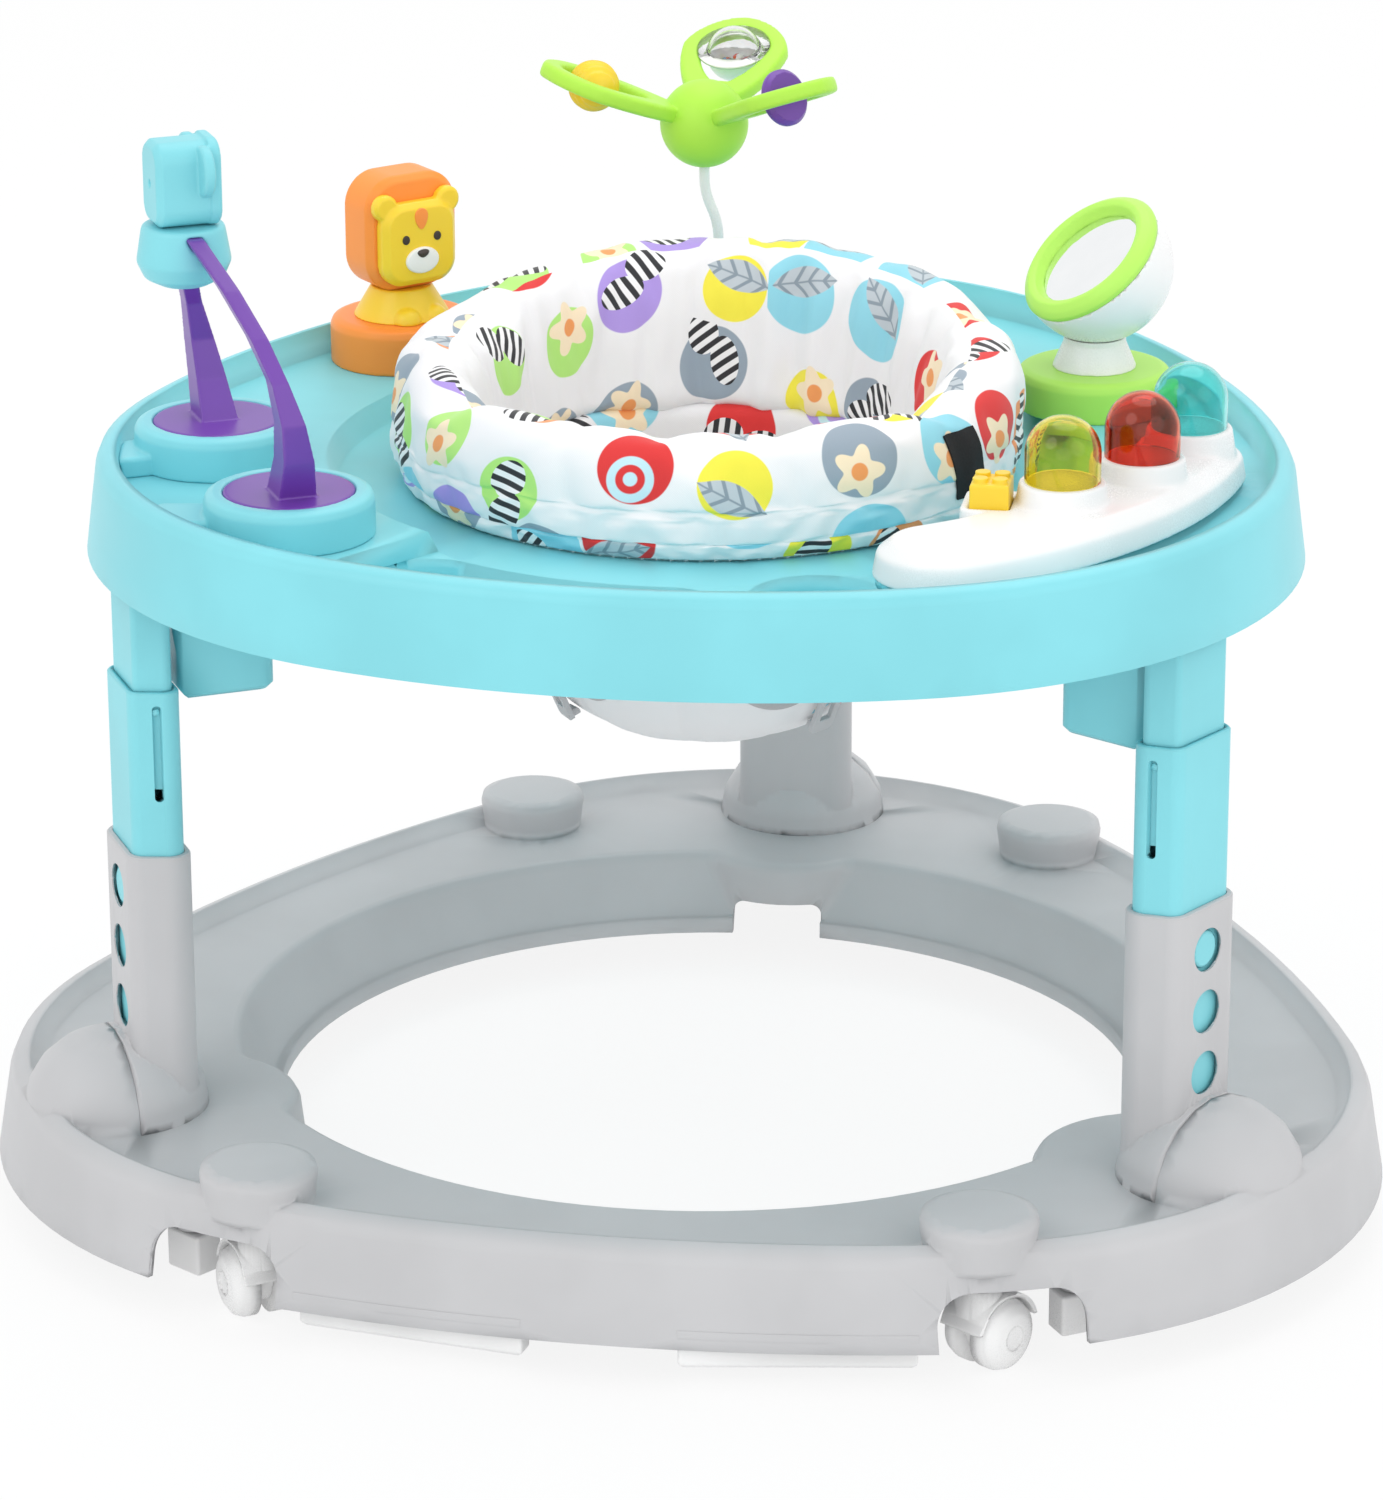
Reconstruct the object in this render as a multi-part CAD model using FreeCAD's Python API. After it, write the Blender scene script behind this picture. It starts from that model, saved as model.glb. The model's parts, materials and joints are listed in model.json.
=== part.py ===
import FreeCAD, Part
import math
import os

V = FreeCAD.Vector
ORIGIN = V(0, 0, 0)
UP = V(0, 0, 1)
OUT = V(1, 0, 0)
ACROSS = V(0, 1, 0)

# Every length is in millimetres. The pieces are drawn about the vertical axis of the seat,
# with the front towards -Y, +Z up and the floor at zero. In the end all of them are moved
# so that the origin lies on the floor under the middle of the base's bounding box.

# Common clearances
overrun = 2.0            # how far every cutting body runs past the face that it opens
fit_gap = 0.3            # clearance between parts that pass or sit beside each other
run_gap = 0.05           # radial clearance of a shaft in its bore
bevel_share = 0.4        # bevel of a soft block as a share of its upright corners

# Base: a ring of three corners, one at each leg, with a rim, a deck and two skirts
leg_angles = {"back": 90.0, "left": 210.0, "right": 330.0}
side_angles = (30.0, 150.0, 270.0)
base_flat_reach = 335.0
base_corner_rise = 60.0
base_corner_reach = base_flat_reach + base_corner_rise
base_corner_inset = 85.0
base_corner_radius = base_flat_reach - base_corner_inset
base_wall = 3.0
skirt_z = 22.0
deck_z = 65.0
rim_z = 74.0
skirt_draft = 7.0
rim_round = 10.0
rim_band = 26.0
rim_slope = 7.0
ring_width = 79.0
hole_slope = 15.0
hole_step = 5.0
hole_top_radius = base_flat_reach - ring_width
hole_low_radius = hole_top_radius - hole_slope
hole_foot_radius = hole_low_radius - hole_step
hole_edge_round = 6.0
edge_share = 0.3          # where the one facet of a rounded edge bends
lip_z = 31.0
lobe_offset = 42.0
lobe_reach = hole_top_radius + lobe_offset
lobe_top_radius = 60.0
lobe_foot_radius = 65.0
lobe_blend = 12.0
notch_width = 52.0
notch_top_z = 41.0
notch_corner = 7.0

# Caster housings on the deck
front_boss_x = 186.0
front_boss_inset = 52.0
front_boss_y = base_flat_reach - front_boss_inset
back_boss_x = 155.0
back_boss_inset = 112.0
back_boss_y = base_corner_reach - back_boss_inset
boss_top_z = 87.0
boss_top_radius = 29.5
boss_side_radius = 30.5
boss_foot_radius = 28.5
boss_round = 6.0
boss_wall = 3.5

# Casters
wheel_radius = 19.0
wheel_half_width = 18.5
wheel_shoulder = 10.0
wheel_hub_radius = 6.5
wheel_hub_depth = 1.2
axle_radius = 2.6
axle_height = wheel_radius
caster_trail = 8.0
caster_trail_angle = 35.0  # how far each caster trails to its own side of straight back
web_half = 4.0
web_radius = 12.0
hood_radius = 22.6
hood_wall = 2.3
hood_half_width = 13.5
hood_cut_z = 25.0
hub_radius = 12.0
hub_foot_z = 31.0
hub_top_z = 46.0
stem_radius = 5.0
stem_top_z = 79.0
stem_socket_radius = 9.0
stem_socket_foot_z = hub_top_z + 1.0

# Arches in the skirt in front of each caster and stop foot
arch_top_z = 53.0
arch_inner_half = 32.0
arch_outer_half = 43.0
arch_depth = 60.0
arch_corner = 18.0

# Stop feet beside the casters, and the round guides that they slide in
foot_spread = 59.0
foot_setback = -7.0
foot_length = 24.0
foot_width = 17.0
foot_bottom_z = 8.0
foot_top_z = 30.0
foot_round = 2.0
foot_stem_radius = 5.0
foot_stem_top_z = 56.0
foot_guide_radius = 8.5
foot_guide_foot_z = 31.0

# Grip strips under the skirt, two on each flat side
strip_length = 121.0
strip_width = 12.0
strip_bottom_z = 9.5
strip_top_z = 28.0
strip_inset = 14.6
strip_angle = 17.4
strip_side_shift = 5.0   # degrees by which the strips of the two long sides sit towards the front
strip_turn_share = 0.52
strip_tongue = 5.0
strip_round = 2.5
strip_ledge = 4.0

# Legs: nested tubes of one rounded trapezoid, wide face towards the middle
leg_offset = 59.0
leg_reach = hole_top_radius + leg_offset
post_depth = 20.0
post_inner_width = 57.4
post_outer_width = 41.3
post_corner = 4.5
tube_grow = 3.5
sleeve_grow = 6.9
tube_gap = 0.35
sleeve_foot_z = 42.0
sleeve_top_z = 212.0
tube_foot_z = 105.0
tube_top_z = 302.0
post_foot_z = 248.0
post_seat_z = 264.0
leg_edge_round = 1.0

# Foot of each leg: a flared collar on the sleeve and a dome on the base, with a seam
dome_offset = 22.0
dome_reach = leg_reach + dome_offset
dome_radius = 49.0
dome_height = 42.0
dome_wall = 3.0
dome_facets = 5
seam = 0.3
screw_shank = 2.0
screw_head = 4.2
screw_head_height = 2.6
screw_length = 16.0
screw_offset = 3.0
screw_reach = leg_reach + screw_offset
screw_side = 36.5

# Height lock: a sprung button in the tube and three holes in the sleeve
lock_z = 188.0
lock_step = 34.0
lock_hole_radius = 11.7
button_radius = 10.0
button_flange_radius = 12.2
button_flange = 2.0
button_latch = 1.2
button_stem_radius = 3.4
button_stem_length = 11.0
button_crown = 0.8
relief_depth = 1.8
relief_half_width = 13.0
relief_margin = 2.0
guide_radius = 6.5
guide_length = 8.0
guide_floor = 1.6

# Bounce: a slot in the tube, a cross pin in the post and a coil spring between them
slot_width = 4.6
slot_low_z = 242.0
slot_high_z = 295.0
pin_radius = 1.9
pin_z = 291.0
pin_proud = 2.3
shelf_z = 200.6
shelf_thickness = 2.0
spring_radius = 6.0
spring_wire = 1.5
spring_turns = 5
spring_sides = 4
post_wall = 2.2
post_floor = 3.0

# Leg housings under the tray
bracket_reach = 247.0
bracket_gap = 0.6
bracket_foot_z = 293.0
bracket_half_width = 19.0
bracket_round = 9.0
bracket_join_z = 350.0

# Tray
tray_inset = 12.5
tray_flat_reach = leg_reach - tray_inset
tray_corner_rise = 31.0
tray_corner_reach = tray_flat_reach + tray_corner_rise
tray_corner_inset = 54.5
tray_corner_radius = tray_flat_reach - tray_corner_inset
tray_wall = 3.0
tray_rim_z = 407.0
tray_height = 52.0
tray_foot_z = tray_rim_z - tray_height
tray_draft = 6.0
tray_round = 7.0
tray_band = 17.0
tray_band_slope = 3.0
tray_lip = 15.0
tray_top_z = tray_rim_z - tray_lip
basin_depth = 12.0
basin_z = tray_top_z - basin_depth
basin_slope = 7.0
seat_hole_radius = 150.0
basin_width = 46.0
basin_radius = seat_hole_radius + basin_width
basin_rim_inset = 25.5
basin_front_reach = tray_flat_reach - basin_rim_inset
basin_front_half_angle = 35.0
well_depth = 14.0
well_z = basin_z - well_depth
well_draft = 3.0
long_well_inset = 71.5
long_well_reach = tray_flat_reach - long_well_inset
long_well_half = 28.0
long_well_angles = (242.0, 274.0)
round_well_inset = 79.5
round_well_reach = tray_flat_reach - round_well_inset
round_well_angle = 294.0
round_well_radius = 33.0

# Seat: a ring that turns in the tray, a padded rim and a cloth pouch
seat_ring_radius = seat_hole_radius - fit_gap
seat_ring_wall = 3.7
seat_ring_drop = 16.0
seat_ring_foot_z = basin_z - seat_ring_drop
seat_ring_rise = 12.0
seat_ring_top_z = basin_z + seat_ring_rise
seat_flange_overlap = 8.0
seat_flange_radius = seat_hole_radius + seat_flange_overlap
seat_flange = 3.0
retainer_overlap = 10.0
retainer_radius = seat_hole_radius + retainer_overlap
retainer_thickness = 4.0
pad_overlap = 17.0
pad_tuck = 5.5
pad_crest_inset = 13.0
pad_inner_inset = 40.0
pad_outer_radius = seat_hole_radius + pad_overlap
pad_foot_radius = pad_outer_radius - pad_tuck
pad_inner_radius = seat_hole_radius - pad_inner_inset
pad_crest_radius = seat_hole_radius - pad_crest_inset
pad_foot_z = basin_z + 0.5
pad_front_rise = 53.0
pad_back_rise = 89.0
pad_front_crest_z = basin_z + pad_front_rise
pad_back_crest_z = basin_z + pad_back_rise
pouch_wall = 2.4
pouch_hang = 8.0
pouch_top_z = basin_z - pouch_hang
pouch_mid_drop = 47.0
pouch_mid_z = pouch_top_z - pouch_mid_drop
pouch_low_drop = 63.0
pouch_low_z = pouch_mid_z - pouch_low_drop
pouch_foot_drop = 30.0
pouch_foot_z = pouch_low_z - pouch_foot_drop
pouch_brim = 12.0
pouch_top_radius = seat_hole_radius - pouch_brim
pouch_mid_radius = 108.0
pouch_low_radius = 80.0
pouch_foot_radius = 48.0
pouch_gathers = 8
pouch_sag_share = 0.05
leg_hole_radius = 42.0
leg_hole_drop = 72.0
leg_hole_z = pouch_top_z - leg_hole_drop
leg_hole_angles = (232.0, 308.0)
clip_width = 16.0
clip_height = 24.0
clip_thickness = 3.0
clip_hole_width = 8.0
clip_stay = 5.0
clip_hole_height = 12.0
clip_angles = (215.0, 325.0)
clip_drop = 32.0
clip_z = leg_hole_z - clip_drop

# Link toy: two drums, two arms and an animal head on a neck
drum_radius = 44.0
drum_height = 23.0
drum_round = 5.0
link_disc_radius = 34.0
link_disc = 2.5
link_front = V(-186.0, -178.0, 0)
link_back = V(-253.0, -60.0, 0)
tab_length = 34.0
tab_width = 34.0
tab_height = 11.0
tab_round = 4.0
neck_lean = 33.0
arm_top_z = 538.0
arm_foot_length = 24.0
arm_foot_width = 20.0
arm_top_length = 13.0
arm_top_width = 9.0
arm_bow = 22.0
arm_top_apart = 19.0
neck_foot_z = 509.0
neck_top_z = 541.0
neck_radius = 24.5
neck_foot_radius = 12.0
neck_top_radius = 21.5
neck_round = 5.0
neck_pin_radius = 4.0
neck_pin_length = 9.0
head_width = 32.0
head_depth = 34.0
head_height = 44.0
head_round = 11.0
head_edge = 3.0
ear_radius = 13.0
ear_thickness = 6.0
ear_top_share = 0.68
mask_thickness = 6.0
mask_inset = 1.5
dimple_radius = 2.0
dimple_depth = 2.0

# Lion toy
lion_place = V(-198.0, 146.0, 0)
lion_turn = 43.0
lion_drum_radius = 40.0
lion_drum_height = 26.0
lion_foot_radius = 27.0
lion_neck_radius = 17.0
lion_body_height = 17.0
lion_pin_radius = 5.0
lion_pin_length = 10.0
mane_width = 58.0
mane_depth = 29.0
mane_height = 65.0
mane_round = 19.0
face_width = 47.0
face_height = 47.0
face_corner = 13.0
face_depth = 9.0
face_lift = 4.0
face_round = 3.5
lion_ear_radius = 7.5

# Mirror toy
mirror_place = V(194.0, 116.0, 0)
mirror_drum_radius = 42.0
mirror_drum_height = 22.0
mirror_foot_radius = 23.0
mirror_foot_height = 14.0
mirror_z = 470.0
mirror_tilt = 48.0
mirror_turn = 218.0
mirror_shell_radius = 42.0
mirror_face = 3.0        # the ring sits this far in front of the bowl's centre
mirror_ring_radius = 42.5
mirror_ring_width = 12.0
mirror_ring_depth = 9.0
mirror_glass_depth = 2.0
mirror_ball_radius = 17.0
mirror_pin_radius = 5.0
mirror_pin_foot_z = 417.0

# Light and sound toy along the right-hand rim
sound_inset = 44.5
sound_reach = tray_flat_reach - sound_inset
sound_half_width = 33.0
sound_angles = (306.0, 354.0)
plinth_height = 4.0
plinth_inset = 2.0
sound_foot_z = tray_top_z + plinth_height + fit_gap
sound_top_z = 416.0
sound_round = 7.0
pedestal_radius = 25.0
pedestal_top_radius = 22.0
pedestal_top_z = 427.0
dome_lamp_radius = 19.5
dome_lamp_height = 34.0
dome_lamp_wall = 1.6
lamp_angles = {"yellow": 326.0, "red": 339.6, "teal": 352.8}
lamp_offsets = {"yellow": -10.0, "red": -1.0, "teal": 4.0}
key_angle = 319.4
key_offset = -33.5
key_reach = sound_reach + key_offset
key_length = 22.0
key_width = 20.0
key_margin = 5.0
key_foot_z = 411.0
key_top_z = 428.0
key_travel = 3.0
key_round = 1.5
key_stud_radius = 4.0
key_stud_height = 2.5

# Flower wand at the back of the tray
wand_place = V(-44.0, 250.0, 0)
wand_drum_radius = 17.0
wand_drum_height = 13.0
wand_radius = 3.0
wand_top_z = 488.0
wand_bend = 8.0
wand_sway_angle = 8.0
flower_hub_radius = 24.0
flower_hub_z = 507.0
petal_reach = 100.0
petal_start = 16.0
petal_width = 60.0
petal_thickness = 7.0
petal_band = 9.0
petal_rise = 40.0
petal_angles = {"back": 84.0, "left": 204.0, "right": 324.0}
petal_eye_reach = 69.0
petal_eye_start = 36.0
bubble_radius = 16.0
bubble_flange = 1.4
bubble_flange_radius = 21.0
bubble_wall = 1.5
bead_radius = 3.2
bead_count = 5
rattle_radius = 14.5
rattle_ribs = 7
rattle_rib_depth = 1.2
spin_disc_radius = 16.0
spin_disc_thickness = 7.0
spin_pin_radius = 1.6
spin_pin_depth = 3.5


def polar(reach, angle, z=0.0):
    """Point at a reach and an angle in degrees about the vertical axis."""
    turn = math.radians(angle)
    return V(reach * math.cos(turn), reach * math.sin(turn), z)


def turned(shape, angle, place=ORIGIN):
    """Copy of a shape, turned about the vertical axis and then moved."""
    copy = shape.copy()
    copy.rotate(ORIGIN, UP, angle)
    copy.translate(place)
    return copy


def joined(shapes):
    """One body made of several."""
    whole = shapes[0]
    for shape in shapes[1:]:
        whole = whole.fuse(shape)
    return whole.removeSplitter()


def block(low, high):
    """Box between two corners."""
    size = high - low
    return Part.makeBox(size.x, size.y, size.z, low)


def lathe(points, place=ORIGIN, sweep=360.0):
    """Body turned about the vertical axis from a closed outline of (radius, height)."""
    corners = [V(radius, 0, z) for radius, z in points]
    face = Part.Face(Part.makePolygon(corners + corners[:1]))
    body = face.revolve(ORIGIN, UP, sweep)
    body.translate(place)
    return body


def rounded(body, radius, chosen):
    """Body with a fillet on the edges that the rule chooses."""
    edges = [edge for edge in body.Edges if chosen(edge)]
    return body.makeFillet(radius, edges)


def at_height(z):
    """Rule: the edge lies flat at this height."""
    def rule(edge):
        box = edge.BoundBox
        return abs(box.ZMax - z) < fit_gap / 10 and abs(box.ZMin - z) < fit_gap / 10
    return rule


def upright(edge):
    """Rule: the edge is straight and vertical."""
    box = edge.BoundBox
    return box.XLength < fit_gap / 10 and box.YLength < fit_gap / 10


def round_edge(edge):
    """Rule: the edge is a full circle."""
    return isinstance(edge.Curve, Part.Circle) and edge.isClosed()


def bevelled(body, size, chosen):
    """Body with a bevel on the edges that the rule chooses."""
    edges = [edge for edge in body.Edges if chosen(edge)]
    return body.makeChamfer(size, edges)


def soft_block(width, depth, height, radius, low_z):
    """Box centred on the vertical axis, with round uprights and a bevelled top and foot."""
    low = V(-width / 2, -depth / 2, low_z)
    body = rounded(Part.makeBox(width, depth, height, low), radius, upright)
    body = bevelled(body, radius * bevel_share, at_height(low_z))
    return bevelled(body, radius * bevel_share, at_height(low_z + height))


def arc_edge(first, middle, last):
    """Round edge through three points."""
    return Part.Arc(first, middle, last).toShape()


def trefoil(corner_reach, flat_reach, corner_radius, inset, z):
    """Outline of three corner arcs and three side arcs, all tangent, moved inwards by inset."""
    corner_centre = corner_reach - corner_radius
    spare = flat_reach - corner_radius
    side_centre = (corner_centre ** 2 - spare ** 2) / (2 * spare - corner_centre)
    side_radius = flat_reach + side_centre
    edges = []
    for angle in leg_angles.values():
        corner = polar(corner_centre, angle)
        ends = []
        for flat in (angle - 60, angle + 60):
            away = corner + polar(side_centre, flat)
            away.normalize()
            ends.append(corner + away * (corner_radius - inset))
        middle = polar(corner_reach - inset, angle)
        edges.append(arc_edge(ends[0], middle, ends[1]))
        flat = angle + 60
        end = V(ends[0])
        mate = FreeCAD.Rotation(UP, 120).multVec(end)
        edges.append(arc_edge(ends[1], polar(side_radius - side_centre - inset, flat), mate))
    wire = Part.Wire(Part.__sortEdges__(edges))
    wire.translate(V(0, 0, z))
    return wire


def base_outline(inset, z):
    return trefoil(base_corner_reach, base_flat_reach, base_corner_radius, inset, z)


def tray_outline(inset, z):
    return trefoil(tray_corner_reach, tray_flat_reach, tray_corner_radius, inset, z)


def between(*wires):
    """Straight-sided body through a stack of outlines."""
    return Part.makeLoft(list(wires), True, True)


def hole_outline(hole_radius, grow, z):
    """Outline of the central hole: a circle with a soft lobe of deck at each leg."""
    edges = []
    blend = lobe_blend
    radius = hole_radius + grow
    fall = (deck_z - z) / (deck_z - skirt_z)
    lobe_radius = lobe_top_radius + (lobe_foot_radius - lobe_top_radius) * fall - grow
    middle_reach = radius - blend
    span = lobe_radius + blend
    cosine = (middle_reach ** 2 + lobe_reach ** 2 - span ** 2) / (2 * middle_reach * lobe_reach)
    offset = math.degrees(math.acos(cosine))
    for angle in leg_angles.values():
        lobe = polar(lobe_reach, angle)
        contacts = []
        for side in (-1, 1):
            centre = polar(middle_reach, angle + side * offset)
            on_hole = polar(radius, angle + side * offset)
            towards = lobe - centre
            towards.normalize()
            on_lobe = centre + towards * blend
            bisector = (on_hole - centre) + (on_lobe - centre)
            bisector.normalize()
            edges.append(arc_edge(on_hole, centre + bisector * blend, on_lobe))
            contacts.append(on_lobe)
        edges.append(arc_edge(contacts[0], polar(lobe_reach - lobe_radius, angle), contacts[1]))
        start = polar(radius, angle + offset)
        end = polar(radius, angle + 120 - offset)
        edges.append(arc_edge(start, polar(radius, angle + 60), end))
    wire = Part.Wire(Part.__sortEdges__(edges))
    wire.translate(V(0, 0, z))
    return wire


def boss_places():
    """Places of the four casters, with the side of each that faces its leg."""
    return {
        "front_left": (V(-front_boss_x, -front_boss_y, 0), -1),
        "front_right": (V(front_boss_x, -front_boss_y, 0), 1),
        "back_left": (V(-back_boss_x, back_boss_y, 0), -1),
        "back_right": (V(back_boss_x, back_boss_y, 0), 1),
    }


def outward_angle(place):
    return math.degrees(math.atan2(place.y, place.x))


def foot_place(place, side):
    """Centre of the stop foot beside a caster, towards the leg."""
    turn = outward_angle(place)
    return place + polar(foot_spread, turn + side * 90) + polar(foot_setback, turn)


def leg_wire(grow, z):
    """Rounded trapezoid of a leg about its own axis, with +X away from the middle."""
    lean = (post_inner_width - post_outer_width) / 2 / post_depth
    half_depth = post_depth / 2 - post_corner
    middle = (post_inner_width + post_outer_width) / 4 - post_corner * math.hypot(1, lean)
    inner = middle + lean * half_depth
    outer = middle - lean * half_depth
    corners = [V(-half_depth, -inner, z), V(half_depth, -outer, z)]
    corners += [V(half_depth, outer, z), V(-half_depth, inner, z)]
    core = Part.makePolygon(corners + corners[:1])
    return core.makeOffset2D(post_corner + grow)


def leg_prism(grow, low_z, high_z):
    """Upright body of the leg's section."""
    return Part.Face(leg_wire(grow, low_z)).extrude(V(0, 0, high_z - low_z))


def dome_half(radius, height, low_z, outer):
    """Half of a dome about the seam of the leg's foot."""
    outline = [(0, low_z)]
    for step in range(dome_facets + 1):
        angle = math.radians(90 * step / dome_facets)
        outline.append((radius * math.cos(angle), low_z + height * math.sin(angle)))
    body = lathe(outline, ORIGIN, 180)
    body.rotate(ORIGIN, UP, -90 if outer else 90)
    body.translate(V(dome_reach - leg_reach, 0, 0))
    return body


def base_tray():
    """Base shell: rim, deck, two skirts, caster housings, leg domes and guides."""
    bend = edge_share * rim_round
    hull = between(base_outline(0, skirt_z), base_outline(skirt_draft, rim_z - rim_round),
                   base_outline(skirt_draft + bend, rim_z - bend),
                   base_outline(skirt_draft + rim_round, rim_z))
    top_in = base_outline(rim_band - rim_slope, rim_z)
    above = base_outline(rim_band - 2 * rim_slope, rim_z + (rim_z - deck_z))
    hull = hull.cut(between(base_outline(rim_band, deck_z), top_in, above))
    bosses = []
    hollows = []
    sockets = []
    bores = []
    arches = []
    for place, side in boss_places().values():
        bend = edge_share * boss_round
        edge_z = boss_top_z - boss_round
        boss = lathe([(0, deck_z - base_wall), (boss_foot_radius, deck_z - base_wall),
                      (boss_foot_radius, deck_z),
                      (boss_side_radius, edge_z), (boss_top_radius, boss_top_z - bend),
                      (boss_side_radius - boss_round, boss_top_z), (0, boss_top_z)])
        bosses.append(turned(boss, 0, place))
        hollows.append(Part.makeCone(boss_foot_radius - boss_wall, boss_side_radius - 2 * boss_wall,
                                     boss_top_z - boss_wall - deck_z + base_wall,
                                     place + V(0, 0, deck_z - base_wall)))
        socket_height = boss_top_z - stem_socket_foot_z
        sockets.append(Part.makeCylinder(stem_socket_radius, socket_height - boss_wall / 2,
                                         place + V(0, 0, stem_socket_foot_z)))
        bores.append(Part.makeCylinder(stem_radius + run_gap, stem_top_z + fit_gap - stem_socket_foot_z
                                       + overrun, place + V(0, 0, stem_socket_foot_z - overrun)))
        foot = foot_place(place, side)
        sockets.append(Part.makeCylinder(foot_guide_radius, deck_z - foot_guide_foot_z - base_wall / 2,
                                         foot + V(0, 0, foot_guide_foot_z)))
        bores.append(Part.makeCylinder(foot_stem_radius + run_gap, foot_stem_top_z + fit_gap
                                       - foot_guide_foot_z + overrun,
                                       foot + V(0, 0, foot_guide_foot_z - overrun)))
        first, last = (-arch_inner_half, arch_outer_half) if side > 0 else (-arch_outer_half, arch_inner_half)
        start = max(0, foot_setback + foot_guide_radius + fit_gap)
        arch = block(V(start, first, 0), V(arch_depth, last, arch_top_z))
        arch = rounded(arch, arch_corner, lambda edge: edge.BoundBox.ZMin > skirt_z
                       and edge.BoundBox.YLength < fit_gap)
        arches.append(turned(arch, outward_angle(place), place))
    domes = []
    dome_hollows = []
    for angle in leg_angles.values():
        centre = polar(leg_reach, angle)
        domes.append(turned(dome_half(dome_radius, dome_height, deck_z, True), angle, centre))
        hollow = dome_half(dome_radius - dome_wall, dome_height - dome_wall, deck_z - base_wall, True)
        hollow.translate(V(dome_wall, 0, 0))
        dome_hollows.append(turned(hollow, angle, centre))
    shell = joined([hull] + bosses + domes)
    cavity = between(base_outline(base_wall, skirt_z - overrun),
                     base_outline(base_wall + skirt_draft, deck_z - base_wall))
    cavity = cavity.cut(between(hole_outline(hole_foot_radius, base_wall, skirt_z - overrun),
                                hole_outline(hole_low_radius, base_wall, lip_z),
                                hole_outline(hole_top_radius, base_wall + hole_edge_round, deck_z)))
    shell = shell.cut(Part.makeCompound([cavity] + hollows + dome_hollows))
    ledges = []
    for place, turn in strip_places():
        ledge = block(V(-strip_width / 2 - strip_ledge, -strip_length / 2, strip_top_z),
                      V(strip_width / 2 + 2 * strip_ledge, strip_length / 2, strip_top_z + strip_ledge))
        ledges.append(turned(ledge, turn, place))
    body = between(base_outline(0, skirt_z), base_outline(skirt_draft, rim_z))
    shell = joined([shell, Part.makeCompound(ledges).common(body)] + sockets)
    shell = shell.cut(Part.makeCompound(bores))
    shell = shell.cut(between(hole_outline(hole_foot_radius, 0, skirt_z - overrun),
                              hole_outline(hole_foot_radius, 0, lip_z)))
    shell = shell.cut(between(hole_outline(hole_low_radius, 0, lip_z),
                              hole_outline(hole_top_radius, 0, deck_z - hole_edge_round),
                              hole_outline(hole_top_radius, edge_share * hole_edge_round,
                                           deck_z - edge_share * hole_edge_round),
                              hole_outline(hole_top_radius, hole_edge_round, deck_z)))
    return cut_base_openings(shell, arches)


def cut_base_openings(shell, arches):
    """Base with its leg openings, screw holes, notches and caster arches."""
    cuts = list(arches)
    for angle in leg_angles.values():
        centre = polar(leg_reach, angle)
        cuts.append(turned(leg_prism(sleeve_grow + fit_gap, sleeve_foot_z, rim_z), angle, centre))
        notch = block(V(hole_foot_radius - lobe_top_radius, -notch_width / 2, 0),
                      V(hole_top_radius, notch_width / 2, notch_top_z))
        notch = rounded(notch, notch_corner, lambda edge: edge.BoundBox.ZMin > skirt_z
                        and edge.BoundBox.YLength < fit_gap)
        cuts.append(turned(notch, angle))
        for side in (-1, 1):
            spot = screw_spot(angle, side)
            cuts.append(Part.makeCylinder(screw_shank + fit_gap, base_wall + 2 * overrun,
                                          spot + V(0, 0, deck_z - base_wall - overrun)))
    return shell.cut(Part.makeCompound(cuts))


def screw_spot(angle, side):
    """Place of a screw under the collar of a leg."""
    spot = V(screw_reach, side * screw_side, 0)
    return FreeCAD.Rotation(UP, angle).multVec(spot)


def side_reach(offset):
    """Reach of the skirt's foot at an angle off the middle of a flat side."""
    corner_centre = base_corner_reach - base_corner_radius
    spare = base_flat_reach - base_corner_radius
    side_centre = (corner_centre ** 2 - spare ** 2) / (2 * spare - corner_centre)
    turn = math.radians(offset)
    side_radius = base_flat_reach + side_centre
    return math.sqrt(side_radius ** 2 - (side_centre * math.sin(turn)) ** 2) - side_centre * math.cos(turn)


def strip_places():
    """Middle and turn of each grip strip."""
    places = []
    for angle in side_angles:
        shift = strip_side_shift * round(math.cos(math.radians(angle)))
        for side in (-1, 1):
            offset = side * strip_angle - shift
            reach = side_reach(offset) - strip_inset
            places.append((polar(reach, angle + offset), angle + offset * strip_turn_share))
    return places


def friction_strips():
    """Six grip strips under the skirt, each with a tongue up to its ledge."""
    half = strip_width / 2
    bar = block(V(-half, -strip_length / 2, strip_bottom_z), V(half, strip_length / 2, skirt_z - fit_gap))
    bar = bevelled(bar, strip_round, at_height(strip_bottom_z))
    tongue = block(V(-strip_tongue, -strip_length / 2, skirt_z - strip_round),
                   V(0, strip_length / 2, strip_top_z))
    strip = joined([bar, tongue])
    return Part.makeCompound([turned(strip, turn, place) for place, turn in strip_places()])


def sleeve_screws():
    """Two screws up through the deck into the collar of each leg."""
    screws = []
    top = deck_z + screw_length - base_wall
    for angle in leg_angles.values():
        for side in (-1, 1):
            outline = [(0, deck_z - base_wall - screw_head_height),
                       (screw_head, deck_z - base_wall - screw_head_height),
                       (screw_head, deck_z - base_wall), (screw_shank, deck_z - base_wall),
                       (screw_shank, top - screw_shank), (0, top)]
            screws.append(lathe(outline, screw_spot(angle, side)))
    return Part.makeCompound(screws)


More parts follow.
